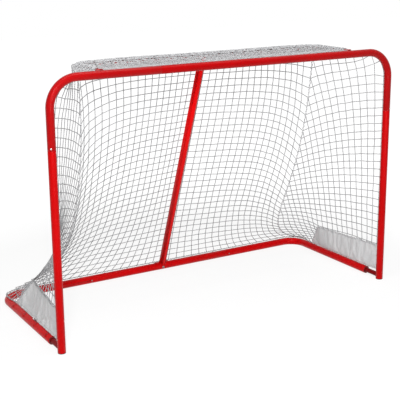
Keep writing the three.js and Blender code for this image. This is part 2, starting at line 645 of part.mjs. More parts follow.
function gridOf(columns, rows, pointAt) {
  return Array.from({ length: rows + 1 }, (_, j) =>
    Array.from({ length: columns + 1 }, (__, i) => pointAt(i / columns, j / rows)));
}

// share counts the upright cords from the post, 0, to the seam, 1.
function sideEdgesAndChords(share, u) {
  if (u === 0) {
    return sideTopEdge(gathered(share));
  }
  return u === 1 ? HEM_CURVE.getPoint(share) : sideFrontEdge(u).lerp(sideSeamEdge(u), gathered(share));
}

// Moves each inner knot amid its four neighbours, until the panel hangs taut between its edges.
const TIGHTENING_PASSES = 200;

function tightened(grid) {
  for (let pass = 0; pass < TIGHTENING_PASSES; pass += 1) {
    for (let j = 1; j < grid.length - 1; j += 1) {
      for (let i = 1; i < grid[j].length - 1; i += 1) {
        const neighbours = [grid[j][i - 1], grid[j][i + 1], grid[j - 1][i], grid[j + 1][i]];
        grid[j][i] = neighbours.reduce((sum, point) => sum.add(point), vector(0, 0, 0)).divideScalar(4);
      }
    }
  }
  return grid;
}

const RIGHT_SIDE_GRID = tightened(gridOf(SIDE_COLUMNS, NET_ROWS, sideEdgesAndChords));
const mirrored = (grid) => grid.map((row) => row.map(({ x, y, z }) => vector(-x, y, z)).reverse());

// ---------------------------------------------------------------------------------------------
// Net panels, seam cords and skirts
// ---------------------------------------------------------------------------------------------
function indexedGeometry(points, triangles) {
  const geometry = new THREE.BufferGeometry();
  geometry.setFromPoints(points);
  geometry.setIndex(triangles);
  geometry.computeVertexNormals();
  return geometry;
}

// Unit vectors of a grid of points at one of them: along its columns, along its rows, and out of it.
function gridAxes(grid, i, j) {
  const rows = grid.length - 1;
  const columns = grid[0].length - 1;
  const a = grid[j][Math.min(i + 1, columns)].clone().sub(grid[j][Math.max(i - 1, 0)]).normalize();
  const b = grid[Math.min(j + 1, rows)][i].clone().sub(grid[Math.max(j - 1, 0)][i]).normalize();
  return { a, b, n: a.clone().cross(b).normalize() };
}

// One solid with a small block at every knot and a square cord between neighbouring knots.
function netPanel(grid) {
  const rows = grid.length - 1;
  const columns = grid[0].length - 1;
  const half = NET_CORD / 2;
  const points = [];
  const triangles = [];
  for (let j = 0; j <= rows; j += 1) {
    for (let i = 0; i <= columns; i += 1) {
      const { a, b, n } = gridAxes(grid, i, j);
      for (let corner = 0; corner < 8; corner += 1) {
        points.push(grid[j][i].clone()
          .addScaledVector(a, corner & 1 ? half : -half)
          .addScaledVector(b, corner & 2 ? half : -half)
          .addScaledVector(n, corner & 4 ? half : -half));
      }
    }
  }
  const at = (i, j, corner) => 8 * (j * (columns + 1) + i) + corner;
  const quad = (p, q, r, s) => triangles.push(p, q, r, p, r, s);
  const cap = (i, j, loop) => quad(...loop.map((corner) => at(i, j, corner)));
  // Corners of the faces that look along +a and +b, and of the opposite faces that they meet.
  const cordFaces = [
    { step: [1, 0], near: [1, 3, 7, 5], far: [0, 2, 6, 4] },
    { step: [0, 1], near: [2, 6, 7, 3], far: [0, 4, 5, 1] },
  ];
  for (let j = 0; j <= rows; j += 1) {
    for (let i = 0; i <= columns; i += 1) {
      cap(i, j, [4, 5, 7, 6]);
      cap(i, j, [2, 3, 1, 0]);
      for (const { step, near, far } of cordFaces) {
        const [nextI, nextJ] = [i + step[0], j + step[1]];
        if (nextI > columns || nextJ > rows) {
          cap(i, j, near);
        } else {
          near.forEach((corner, k) => {
            const after = (k + 1) % 4;
            const here = [at(i, j, corner), at(i, j, near[after])];
            quad(...here, at(nextI, nextJ, far[after]), at(nextI, nextJ, far[k]));
          });
        }
        if (i - step[0] < 0 || j - step[1] < 0) {
          cap(i, j, [...far].reverse());
        }
      }
    }
  }
  return indexedGeometry(points, triangles);
}

// A sheet of even thickness over a grid of points.
function sheet(grid, thickness) {
  const rows = grid.length - 1;
  const columns = grid[0].length - 1;
  const points = [];
  const triangles = [];
  const quad = (p, q, r, s) => triangles.push(p, q, r, p, r, s);
  for (const side of [-0.5, 0.5]) {
    grid.forEach((row, j) => row.forEach((point, i) => {
      points.push(point.clone().addScaledVector(gridAxes(grid, i, j).n, side * thickness));
    }));
  }
  const layer = (columns + 1) * (rows + 1);
  const at = (i, j) => j * (columns + 1) + i;
  for (let j = 0; j < rows; j += 1) {
    for (let i = 0; i < columns; i += 1) {
      // Both faces are split along the same diagonal, which keeps the sheet's thickness.
      const [p, q, r, s] = [at(i, j), at(i + 1, j), at(i + 1, j + 1), at(i, j + 1)];
      quad(p + layer, q + layer, r + layer, s + layer);
      quad(p, s, r, q);
    }
  }
  const rim = [];
  for (let i = 0; i < columns; i += 1) rim.push([at(i, 0), at(i + 1, 0)], [at(i + 1, rows), at(i, rows)]);
  for (let j = 0; j < rows; j += 1) rim.push([at(0, j + 1), at(0, j)], [at(columns, j), at(columns, j + 1)]);
  rim.forEach(([p, q]) => quad(p, q, q + layer, p + layer));
  return indexedGeometry(points, triangles);
}

addPiece("net_back", netPanel(
  gridOf(BACK_COLUMNS, NET_ROWS, (i, j) => backNet(gathered(2 * i - 1), j))), "netCord");
addPiece("net_top", netPanel(
  gridOf(BACK_COLUMNS, TOP_ROWS, (i, j) => topNet(gathered(2 * i - 1), j))), "netCord");

// Skirt: a cloth panel from the side tube up to the lower edge of the side net, with soft upright folds.
const SKIRT = { frontY: 28, footRearY: 585, topRearY: 462, topRearX: 880, footZ: 47, topZ: 184 };
const SKIRT_FOLDS = 5;
const SKIRT_FOLD_DEPTH = 5;
const SKIRT_COLUMNS = 20;
const SKIRT_ROWS = 4;

function skirtPoint(along, up) {
  const foot = vector(POST_X, mix(SKIRT.frontY, SKIRT.footRearY, along), SKIRT.footZ);
  const topX = mix(POST_X, SKIRT.topRearX, along);
  const point = foot.lerp(vector(topX, mix(SKIRT.frontY, SKIRT.topRearY, along), SKIRT.topZ), up);
  const fold = Math.sin(Math.PI * up) * Math.sin(2 * Math.PI * SKIRT_FOLDS * along);
  point.x -= SKIRT_FOLD_DEPTH * fold;
  return point;
}

const RIGHT_SKIRT_GRID = gridOf(SKIRT_COLUMNS, SKIRT_ROWS, (i, j) => skirtPoint(i, 1 - j));

for (const [side, sign] of Object.entries(SIDES)) {
  addPiece(`net_${side}_side`, netPanel(sign > 0 ? RIGHT_SIDE_GRID : mirrored(RIGHT_SIDE_GRID)), "netCord");
  const skirtGrid = sign > 0 ? RIGHT_SKIRT_GRID : mirrored(RIGHT_SKIRT_GRID);
  addPiece(`${side}_skirt`, sheet(skirtGrid, SKIRT_THICKNESS), "skirtCloth");

  const seamPoints = Array.from({ length: NET_ROWS + 1 }, (_, row) => {
    const { x, y, z } = seamAt(seamFall(row / NET_ROWS));
    return vector(sign * x, y, z);
  });
  addPiece(`${side}_seam_cord`, tube(mitredRoute(seamPoints), SEAM_CORD_RADIUS, 0, 6), "netCord");
}

// ---------------------------------------------------------------------------------------------
// Origin: the middle of the footprint, on the floor
// ---------------------------------------------------------------------------------------------
const bounds = new THREE.Box3().setFromObject(goal);
goal.position.y = -(bounds.min.y + bounds.max.y) / 2;

export default goal;
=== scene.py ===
"""A street hockey goal of painted steel tube, with its knotted net and two cloth skirts, in a plain studio.

Metres. The goal is drawn with x to the right, y back from the goal line and z up from the floor. The frame's
own y is that of the goal line plus GOAL_LINE_Y, and settle_at_goal_line() makes the change in each mesh.
"""
import math
from typing import NamedTuple

import bpy
import numpy as np
from mathutils import Matrix, Vector


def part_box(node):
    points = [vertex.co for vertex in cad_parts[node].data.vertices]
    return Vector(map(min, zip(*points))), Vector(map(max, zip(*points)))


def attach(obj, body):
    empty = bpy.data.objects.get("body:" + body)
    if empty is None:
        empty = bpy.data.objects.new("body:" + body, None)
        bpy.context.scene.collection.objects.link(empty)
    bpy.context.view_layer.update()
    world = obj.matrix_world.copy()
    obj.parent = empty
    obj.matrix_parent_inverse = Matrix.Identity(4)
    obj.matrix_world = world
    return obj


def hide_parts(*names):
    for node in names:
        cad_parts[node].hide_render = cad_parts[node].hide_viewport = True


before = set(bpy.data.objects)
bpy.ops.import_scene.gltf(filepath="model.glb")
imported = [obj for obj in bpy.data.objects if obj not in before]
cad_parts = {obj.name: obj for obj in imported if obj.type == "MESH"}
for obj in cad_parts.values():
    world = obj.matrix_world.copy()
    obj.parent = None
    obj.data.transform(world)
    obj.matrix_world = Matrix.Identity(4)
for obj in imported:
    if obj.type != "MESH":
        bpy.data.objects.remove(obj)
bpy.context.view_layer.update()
scene = bpy.context.scene

# == Sizes: tube, twine and cloth stock, then what the frame says ==
FRONT_RADIUS, BASE_RADIUS, SHELF_RADIUS, STUB_RADIUS, SOCKET_RADIUS = 0.019, 0.0205, 0.0125, 0.0127, 0.016
TUBE_WALL, STUB_WALL, SOCKET_WALL = 0.0015, 0.002, 0.0028
CORNER_BEND, SHELF_BEND, BASE_BEND = 0.130, 0.070, 0.095
GAP = 0.0003  # between pieces that touch
TUBE_LIP, LIP_STEPS = 0.0007, 4  # rounding of a tube's cut end
TUBE_SIDES = 56
SMOOTH, TURNED_SMOOTH, CLOTH_SMOOTH = 40, 35, 180  # degrees below which faces are shaded as one

TWINE_RADIUS, SEAM_RADIUS, HEM_RADIUS, EDGE_RADIUS, LOOP_RADIUS = 0.0021, 0.0022, 0.0015, 0.0013, 0.0009
ROLL_TWINE_RADIUS = TWINE_RADIUS * 1.1
NET_WRAP = 0.0215  # net to the axis of the shelf bar
BASE_WRAP = 0.027  # and to the axis of the base tube
SKIRT_LENGTH, SKIRT_HEIGHT, SKIRT_AREA = 0.575, 0.145, 0.0760

SIDES = {"left": -1, "right": 1}
X, Y, Z = np.eye(3)


def lowest(node, axis):
    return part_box(node)[0][axis]


def highest(node, axis):
    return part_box(node)[1][axis]


def middle(node, axis):
    return (lowest(node, axis) + highest(node, axis)) / 2


GOAL_LINE_Y = lowest("crossbar_middle", 1) + FRONT_RADIUS
POST_X = middle("right_foot_plug", 0)
CROSSBAR_Z = middle("crossbar_middle", 2)
BASE_Z = middle("base_back_tube", 2)
BASE_REAR_Y = lowest("base_back_tube", 1) + BASE_RADIUS - GOAL_LINE_Y
SIDE_TUBE_FRONT_Y = lowest("right_base_corner", 1) - GOAL_LINE_Y
POST_FOOT_Z = lowest("right_post", 2)
POST_JOINT_Z = highest("right_post", 2)
CROSSBAR_JOINT_X = highest("crossbar_middle", 0)
BASE_JOINT_X = highest("base_back_tube", 0)
SHELF_X = highest("right_shelf_bar", 0) - SHELF_RADIUS
SHELF_Z = middle("right_shelf_bar", 2)
SHELF_Y = middle("shelf_tee", 1) - GOAL_LINE_Y
SHELF_FRONT_Y = lowest("right_shelf_bar", 1) - GOAL_LINE_Y
TEE_HALF = highest("shelf_tee", 0)
STUB_END_Y = highest("right_post", 1) - GOAL_LINE_Y
SOCKET_END_Y = 0.048


# == Mesh helpers ==
def mesh_object(name, points, edges=(), faces=(), in_scene=True):
    mesh = bpy.data.meshes.new(name)
    mesh.from_pydata([tuple(point) for point in points], edges, faces)
    piece = bpy.data.objects.new(name, mesh)
    if in_scene:
        scene.collection.objects.link(piece)
    return piece


def settle_at_goal_line(piece):
    piece.data.transform(Matrix.Translation((0, GOAL_LINE_Y, 0)))


def shade(piece, smooth_degrees=SMOOTH):
    mesh = piece.data
    mesh.polygons.foreach_set("use_smooth", [True] * len(mesh.polygons))
    mesh.set_sharp_from_angle(angle=math.radians(smooth_degrees))


def new_piece(name, points, faces, smooth_degrees=SMOOTH):
    """A mesh drawn from the goal line, moved to its place in the frame."""
    piece = mesh_object(name, np.asarray(points, float), faces=faces)
    settle_at_goal_line(piece)
    shade(piece, smooth_degrees)
    return piece


def bake_modifiers(piece):
    """Turns what the modifiers make into the piece's own plain mesh."""
    graph = bpy.context.evaluated_depsgraph_get()
    finished = bpy.data.meshes.new_from_object(piece.evaluated_get(graph))
    piece.modifiers.clear()
    drawn = piece.data
    piece.data = finished
    finished.name = piece.name
    bpy.data.meshes.remove(drawn)


def carve(piece, *cutters):
    """Cuts the cutters out of a piece and deletes them."""
    for cutter in cutters:
        modifier = piece.modifiers.new("carve", "BOOLEAN")
        modifier.operation = "DIFFERENCE"
        modifier.solver = "EXACT"
        modifier.object = cutter
        bake_modifiers(piece)
        bpy.data.objects.remove(cutter)


def join(name, *pieces):
    """Several meshes as one piece."""
    points, faces = [], []
    for piece in pieces:
        first = len(points)
        points += [tuple(vertex.co) for vertex in piece.data.vertices]
        faces += [[first + i for i in polygon.vertices] for polygon in piece.data.polygons]
        bpy.data.objects.remove(piece)
    whole = mesh_object(name, points, faces=faces)
    shade(whole)
    return whole


def mirrored(points, sign):
    return points * np.array([sign, 1, 1])


def unit(vector):
    vector = np.asarray(vector, float)
    return vector / np.linalg.norm(vector, axis=-1, keepdims=True)


def grid_faces(rings, around, wrap_rings=False):
    """Quads of a skin over rings of points, facing out where the rings climb along their axis."""
    faces = []
    for i in range(rings if wrap_rings else rings - 1):
        near, far = i * around, (i + 1) % rings * around
        for j in range(around):
            k = (j + 1) % around
            faces.append((near + j, near + k, far + k, far + j))
    return faces


def ring_skin(name, centres, along, radii, side, wrap_rings, sides=TUBE_SIDES):
    """A skin over round rings. Open ends are capped."""
    up = unit(np.cross(along, side))
    turn = np.arange(sides) * 2 * math.pi / sides
    ring = np.cos(turn)[:, None] * np.atleast_2d(unit(side))[:, None] + np.sin(turn)[:, None] * up[:, None]
    points = (np.asarray(centres)[:, None] + np.asarray(radii)[:, None, None] * ring).reshape(-1, 3)
    faces = grid_faces(len(radii), sides, wrap_rings)
    if not wrap_rings:
        faces.append(tuple(range(sides))[::-1])
        faces.append(tuple(range(len(points) - sides, len(points))))
    return new_piece(name, points, faces)


def square_to(direction, along):
    """The part of a direction that is square to another."""
    direction = np.broadcast_to(direction, np.shape(along))
    return unit(direction - along * np.sum(direction * along, axis=-1, keepdims=True))


def straight_route(start, end):
    return np.array([start, end], float), np.repeat(unit(np.subtract(end, start))[None], 2, axis=0)


def bent_route(corners, bend_radius, steps=28):
    """Centres and directions of straight runs between corners that are bent round."""
    corners = np.asarray(corners, float)
    runs = unit(np.diff(corners, axis=0))
    centres, along = [corners[0]], [runs[0]]
    for corner, before, after in zip(corners[1:-1], runs, runs[1:]):
        turn = math.acos(np.dot(before, after))
        inward = unit(after - before * math.cos(turn))
        start = corner - before * bend_radius * math.tan(turn / 2)
        for angle in np.linspace(0, turn, steps + 1):
            centres.append(start + bend_radius * (before * math.sin(angle) + inward * (1 - math.cos(angle))))
            along.append(before * math.cos(angle) + inward * math.sin(angle))
    return np.array(centres + [corners[-1]]), np.array(along + [runs[-1]])


def tube(name, route, radius, wall, side, sides=TUBE_SIDES):
    """A tube with a wall and with rounded cut ends. side is square to the route all along."""
    centres, along = route
    lip = np.linspace(0, math.pi / 2, LIP_STEPS)
    inset, rise = TUBE_LIP * (1 - np.sin(lip)), TUBE_LIP * (1 - np.cos(lip))
    first = centres[0] + along[0] * rise[:, None]
    last = centres[-1] - along[-1] * rise[:, None]
    # The outer face with a lip at both ends, and back along the bore.
    points = np.concatenate([first, centres[1:-1], last[::-1], centres[::-1]])
    directions = np.concatenate([
        np.repeat(along[:1], LIP_STEPS, 0), along[1:-1], np.repeat(along[-1:], LIP_STEPS, 0), along[::-1]])
    radii = np.concatenate([radius - inset, np.full(len(centres) - 2, radius), (radius - inset)[::-1],
                            np.full(len(centres), radius - wall)])
    return ring_skin(name, points, directions, radii, side, True, sides)


def straight_tube(name, start, end, radius, wall, side, sides=TUBE_SIDES):
    return tube(name, straight_route(start, end), radius, wall, side, sides)


def tube_across(name, half, y, z, radius, wall, side):
    """A tube from left to right over the middle of the goal."""
    return straight_tube(name, (-half, y, z), (half, y, z), radius, wall, side)


def rod(name, start, end, radius, side, sides=TUBE_SIDES):
    centres, along = straight_route(start, end)
    return ring_skin(name, centres, along, [radius, radius], side, False, sides)


def turned(profile, sides):
    """Points and faces of a body turned about Z. profile lists radius and height from the foot to the tip."""
    turn = np.arange(sides) * 2 * math.pi / sides
    (_, foot), *rings, (_, tip) = profile
    points = [(0, 0, foot)]
    for radius, height in rings:
        points += [(radius * math.cos(a), radius * math.sin(a), height) for a in turn]
    points.append((0, 0, tip))
    faces = [[1 + i for i in face] for face in grid_faces(len(rings), sides)]
    last = 1 + (len(rings) - 1) * sides
    for i in range(sides):
        j = (i + 1) % sides
        faces += [(0, 1 + j, 1 + i), (len(points) - 1, last + i, last + j)]
    return np.array(points), faces


def turned_piece(name, profile, at, out, sides=32):
    """A turned body that stands at a point along the direction out."""
    points, faces = turned(profile, sides)
    turn = np.array(Vector(out).to_track_quat("Z", "Y").to_matrix())
    return new_piece(name, points @ turn.T + np.asarray(at), faces, TURNED_SMOOTH)


def block(name, at, along, out, length, width, thickness):
    """A plain block about its middle."""
    along, out = unit(along), unit(out)
    across = np.cross(out, along)
    corners = [
        np.asarray(at) + along * i * length / 2 + across * j * width / 2 + out * k * thickness / 2
        for k in (-1, 1) for j in (-1, 1) for i in (-1, 1)]
    faces = [(0, 2, 3, 1), (4, 5, 7, 6), (0, 1, 5, 4), (2, 6, 7, 3), (0, 4, 6, 2), (1, 3, 7, 5)]
    return new_piece(name, corners, faces)


# == Materials ==
class Nodes:
    """A node tree, with short ways to add nodes to it. A node stands for its first output."""

    def __init__(self, tree):
        self.tree = tree

    def feed(self, socket, value):
        if isinstance(value, bpy.types.Node):
            value = value.outputs[0]
        if isinstance(value, bpy.types.NodeSocket):
            self.tree.links.new(value, socket)
        else:
            socket.default_value = value

    def node(self, kind, settings=None, **inputs):
        node = self.tree.nodes.new(kind)
        for key, value in (settings or {}).items():
            setattr(node, key, value)
        for key, value in inputs.items():
            self.feed(node.inputs[key.replace("_", " ")], value)
        return node

    def calculate(self, operation, first, second):
        node = self.node("ShaderNodeMath", {"operation": operation})
        self.feed(node.inputs[0], first)
        self.feed(node.inputs[1], second)
        return node

    def spread(self, value, low=0.0, high=1.0, to_low=0.0, to_high=1.0):
        """Takes low to to_low, high to to_high, and what lies between in step."""
        return self.node("ShaderNodeMapRange", Value=value, From_Min=low, From_Max=high,
                         To_Min=to_low, To_Max=to_high)

    def seen_directly(self):
        """1 for the rays of the camera, of gloss and through glass, and 0 for those that only carry light."""
        path = self.node("ShaderNodeLightPath")
        seen = path.outputs["Is Camera Ray"]
        for kind in ("Is Glossy Ray", "Is Transmission Ray"):
            seen = self.calculate("MAXIMUM", seen, path.outputs[kind])
        return seen


class Finish(Nodes):
    """A material with its Principled shader."""

    def __init__(self, name, colour, roughness, **settings):
        self.material = bpy.data.materials.new(name)
        self.material.use_nodes = True
        super().__init__(self.material.node_tree)
        self.shader = self.tree.nodes["Principled BSDF"]
        self.set("Base Color", (*colour, 1))
        self.set("Roughness", roughness)
        for socket, value in settings.items():
            self.set(socket.replace("_", " "), value)

    def set(self, socket, value):
        self.feed(self.shader.inputs[socket], value)

    def place(self, kind="Object"):
        return self.node("ShaderNodeTexCoord").outputs[kind]

    def noise(self, scale, detail=3.0, vector=None, distortion=0.0):
        return self.node("ShaderNodeTexNoise", Vector=vector or self.place(), Scale=scale, Detail=detail,
                         Distortion=distortion)

    def blend(self, share, low, high):
        """One colour where share is 0, and another where it is 1."""
        node = self.node("ShaderNodeMix", {"data_type": "RGBA"}, Factor=share)
        for socket, colour in zip([s for s in node.inputs if s.type == "RGBA"], (low, high)):
            self.feed(socket, (*colour, 1) if isinstance(colour, tuple) else colour)
        return next(s for s in node.outputs if s.type == "RGBA")

    def bump(self, height, strength, distance):
        self.set("Normal", self.node("ShaderNodeBump", Height=height, Strength=strength, Distance=distance))


def red_paint(name, roughness, coat, depth=1.0):
    """Powder coat: a fine orange peel, faint cloudiness, and scuffs that grow towards the floor."""
    # depth scales every colour of the coat, scuffs included: on the posts, bends, bars and sloping post it is
    # painted shade and painted light, on the stubs only a darker red
    paint = Finish(name, (0.52 * depth, 0.0006, 0.0015), roughness, Coat_Weight=coat, Coat_Roughness=0.07,
                   Specular_IOR_Level=0.35, Specular_Tint=(0.9, 0.12, 0.12, 1))
    cloud = paint.spread(paint.noise(3.5), 0.35, 0.65)
    body = paint.blend(cloud, (0.50 * depth, 0.0004, 0.001), (0.56 * depth, 0.001, 0.002))
    height = paint.node("ShaderNodeSeparateXYZ", Vector=paint.place()).outputs["Z"]
    least_scuff = paint.spread(height, 0.0, 0.5, 0.60, 0.75)
    stroke = paint.node("ShaderNodeMapping", Vector=paint.place(), Scale=(30, 30, 9))
    scuff = paint.calculate("GREATER_THAN", paint.noise(6, 5, stroke, 0.6), least_scuff)
    paint.set("Base Color", paint.blend(scuff, body, (0.36 * depth, 0.002, 0.003)))
    paint.set("Roughness", paint.spread(paint.noise(14, 4), 0.3, 0.7, roughness, roughness + 0.07))
    paint.bump(paint.noise(520, 1), 0.10, 0.0004)
    return paint.material


def zinc_plate(name, light, dark):
    zinc = Finish(name, light, 0.34, Metallic=0.95)
    grain = zinc.noise(260, 5)
    zinc.set("Base Color", zinc.blend(zinc.spread(grain, 0.3, 0.7), dark, light))
    zinc.set("Roughness", zinc.spread(zinc.noise(60, 4), 0.3, 0.7, 0.26, 0.46))
    zinc.bump(grain, 0.15, 0.0002)
    return zinc.material


def moulded_plastic(name, light, dark):
    plastic = Finish(name, light, 0.55)
    scuff = plastic.spread(plastic.noise(70, 4), 0.45, 0.75)
    plastic.set("Base Color", plastic.blend(scuff, dark, light))
    plastic.set("Roughness", plastic.spread(scuff, 0, 1, 0.45, 0.68))
    plastic.bump(plastic.noise(900, 2), 0.3, 0.0002)
    return plastic.material


def strand(name, light, dark):
    """Twine, lace or a nylon tie: paler and darker stretches, and fine fibres."""
    cord = Finish(name, light, 0.62, Sheen_Weight=0.15, Specular_IOR_Level=0.35)
    stretches = cord.spread(cord.noise(26, 4), 0.3, 0.7)
    fibre = cord.noise(900, 2)
    cord.set("Base Color", cord.blend(cord.spread(fibre, 0.35, 0.5), dark, cord.blend(stretches, dark, light)))
    cord.bump(fibre, 0.4, 0.0003)
    return cord.material


THREAD_SCALE = 270.0
STITCH_PITCH, STITCH_LENGTH, STITCH_HALF_WIDTH, STITCH_FROM_EDGE = 0.003, 0.0019, 0.0007, 0.009


def skirt_weave():
    """Plain weave with a row of stitches along both hems, in the panel's own UV, whose unit is a metre."""
    cloth = Finish("skirt_weave", (0.62, 0.63, 0.64), 0.8, Sheen_Weight=0.25, Sheen_Roughness=0.45,
                   Specular_IOR_Level=0.3)
    uv = cloth.place("UV")
    threads = cloth.calculate("MAXIMUM", *(
        cloth.node("ShaderNodeTexWave", {"bands_direction": way}, Vector=uv, Scale=THREAD_SCALE).outputs["Fac"]
        for way in "XY"))
    cloudy = cloth.spread(cloth.noise(9, 5), 0.3, 0.7)
    body = cloth.blend(cloudy, (0.58, 0.585, 0.59), (0.70, 0.705, 0.71))
    woven = cloth.blend(cloth.spread(threads, 0.1, 0.7), (0.49, 0.495, 0.50), body)
    split = cloth.node("ShaderNodeSeparateXYZ", Vector=uv)
    along_stitch = cloth.calculate("PINGPONG", split.outputs["X"], STITCH_PITCH)
    from_edge = cloth.calculate("PINGPONG", split.outputs["Y"], SKIRT_HEIGHT / 2)
    past_line = cloth.calculate("SUBTRACT", from_edge, STITCH_FROM_EDGE)
    off_line = cloth.calculate("PINGPONG", past_line, SKIRT_HEIGHT)
    stitch = cloth.calculate("MULTIPLY", cloth.calculate("LESS_THAN", along_stitch, STITCH_LENGTH),
                             cloth.calculate("LESS_THAN", off_line, STITCH_HALF_WIDTH))
    cloth.set("Base Color", cloth.blend(stitch, woven, (0.30, 0.30, 0.31)))
    cloth.bump(threads, 0.35, 0.0004)
    return cloth.material


# Posts, corner bends, crossbar, shelf bars and tee: the base's red painted darker, at 0.87, 0.64 and 0.66, as
# painted shade
SHADED_POST_PAINT = red_paint("red_paint_post", 0.38, 0.02, 0.87)
SHADED_BEND_PAINT = red_paint("red_paint_bend", 0.36, 0.08, 0.64)
SHADED_BAR_PAINT = red_paint("red_paint_bar", 0.42, 0.0, 0.66)
BASE_PAINT = red_paint("red_paint_base", 0.32, 0.03)
# The sloping post: the same red painted lighter, at 1.35, as painted light for the light that the floor throws
# up onto it
LIT_SLOPING_PAINT = red_paint("red_paint_sloping", 0.38, 0.02, 1.35)
STUB_PAINT = red_paint("dark_red_paint", 0.45, 0.0, 0.30)
ZINC = zinc_plate("zinc_plate", (0.60, 0.61, 0.61), (0.44, 0.45, 0.46))
# The zinc of the base buttons, the bolt and the nut: the same plating painted darker and reddish, as painted
# shade
SHADED_ZINC = zinc_plate("dull_zinc", (0.30, 0.21, 0.20), (0.16, 0.10, 0.10))
PLASTIC = moulded_plastic("black_plastic", (0.035, 0.034, 0.034), (0.012, 0.012, 0.013))
DARK_PLASTIC = moulded_plastic("dark_red_plastic", (0.115, 0.004, 0.005), (0.085, 0.003, 0.004))
NET_TWINE = strand("net_twine", (0.44, 0.44, 0.45), (0.28, 0.28, 0.29))
MARGIN_TWINE = strand("margin_twine", (0.56, 0.56, 0.57), (0.40, 0.40, 0.41))
BORDER_TWINE = strand("border_twine", (0.68, 0.68, 0.69), (0.52, 0.52, 0.53))
RED_LACE = strand("red_lace", (0.40, 0.012, 0.012), (0.26, 0.008, 0.008))
WHITE_NYLON = strand("white_nylon", (0.75, 0.75, 0.75), (0.66, 0.66, 0.66))
SKIRT_CLOTH = skirt_weave()

SLOTS = {material: slot for slot, materials in {
    "paint": (SHADED_POST_PAINT, SHADED_BEND_PAINT, SHADED_BAR_PAINT, BASE_PAINT, LIT_SLOPING_PAINT, STUB_PAINT),
    "zinc": (ZINC, SHADED_ZINC),
    "plastic": (PLASTIC, DARK_PLASTIC, WHITE_NYLON),
    "net_cord": (NET_TWINE, MARGIN_TWINE, BORDER_TWINE, RED_LACE),
    "skirt_cloth": (SKIRT_CLOTH,),
}.items() for material in materials}


def dress(piece, material, *nodes, body="goal"):
    """Gives a finished piece its material and its body, and hides the CAD nodes that it stands for."""
    piece.data.materials.clear()
    piece.data.materials.append(material)
    if nodes:
        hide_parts(*nodes)
    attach(piece, body)
    return piece


# == Camera at the photograph's view, and the studio ==
CAMERA_FROM_GOAL_LINE = (-2.411, -3.740, 1.775)
CAMERA_YAW, CAMERA_PITCH, CAMERA_ROLL = 0.5335, -0.2621, -0.0089
CAMERA_LENS = 85.55


def add_camera():
    ahead = Vector((
        math.sin(CAMERA_YAW) * math.cos(CAMERA_PITCH), math.cos(CAMERA_YAW) * math.cos(CAMERA_PITCH),
        math.sin(CAMERA_PITCH)))
    level = Vector((math.cos(CAMERA_YAW), -math.sin(CAMERA_YAW), 0))
    above = level.cross(ahead)
    right = level * math.cos(CAMERA_ROLL) + above * math.sin(CAMERA_ROLL)
    up = above * math.cos(CAMERA_ROLL) - level * math.sin(CAMERA_ROLL)
    camera = bpy.data.objects.new("camera", bpy.data.cameras.new("camera"))
    camera.data.lens = CAMERA_LENS
    camera.data.sensor_width = 36
    turn = Matrix((right, up, -ahead)).transposed().to_4x4()
    place = Vector(CAMERA_FROM_GOAL_LINE) + Vector((0, GOAL_LINE_Y, 0))
    camera.matrix_world = Matrix.Translation(place) @ turn
    scene.collection.objects.link(camera)
    scene.camera = camera


def add_lamp(name, watts, width, height, at, towards):
    lamp = bpy.data.lights.new(name, "AREA")
    lamp.shape = "RECTANGLE"
    lamp.size, lamp.size_y = width, height
    lamp.energy = watts
    holder = bpy.data.objects.new(name, lamp)
    holder.location = at
    holder.rotation_euler = (Vector(towards) - Vector(at)).to_track_quat("-Z", "Y").to_euler()
    scene.collection.objects.link(holder)


WORLD_LIGHT = 0.13  # what the white surroundings light with, where they show as 1
FLOOR_HALF = 14.0
FLOOR_OWN_WHITE = 0.80  # share of the floor that shows its own white, over the part that takes the shadow
FLOOR_GLOW = (1.3, 2.6, 1.0625, 1.28)  # between these distances from the middle, that white grows by so much
LAMPS = (  # name, watts, width, height, place and aim
    ("key_softbox", 240, 0.8, 1.4, (-2.7, -4.4, 2.9), (0, 0, 0.5)),
    ("fill_softbox", 32, 2.6, 1.0, (-0.6, -4.9, 0.75), (0, 0, 0.6)),
    ("top_softbox", 78, 3.4, 1.2, (0, -0.9, 4.2), (0, 0, 0)))


def add_studio():
    world = bpy.data.worlds.new("studio")
    world.use_nodes = True
    scene.world = world
    sky = Nodes(world.node_tree)
    background = sky.tree.nodes["Background"]
    sky.feed(background.inputs["Color"], (1, 1, 1, 1))
    sky.feed(background.inputs["Strength"], sky.spread(sky.seen_directly(), to_low=WORLD_LIGHT))

    corners = [(x * FLOOR_HALF, y * FLOOR_HALF, 0) for x, y in ((-1, -1), (1, -1), (1, 1), (-1, 1))]
    floor = mesh_object("floor", corners, faces=[(0, 1, 2, 3)])
    pale = Finish("pale_floor", (0.85, 0.85, 0.85), 0.9, Specular_IOR_Level=0.0)
    far = pale.node("ShaderNodeVectorMath", {"operation": "LENGTH"}, Vector=pale.place()).outputs["Value"]
    glow = pale.node("ShaderNodeEmission", Color=(1, 1, 1, 1), Strength=pale.spread(far, *FLOOR_GLOW))
    mixed = pale.node("ShaderNodeMixShader", Fac=pale.spread(pale.seen_directly(), to_high=FLOOR_OWN_WHITE))
    pale.feed(mixed.inputs[1], pale.shader)
    pale.feed(mixed.inputs[2], glow)
    pale.feed(pale.tree.nodes["Material Output"].inputs["Surface"], mixed)
    floor.data.materials.append(pale.material)

    for lamp in LAMPS:
        add_lamp(*lamp)
    scene.view_settings.view_transform = "Standard"


add_camera()
add_studio()


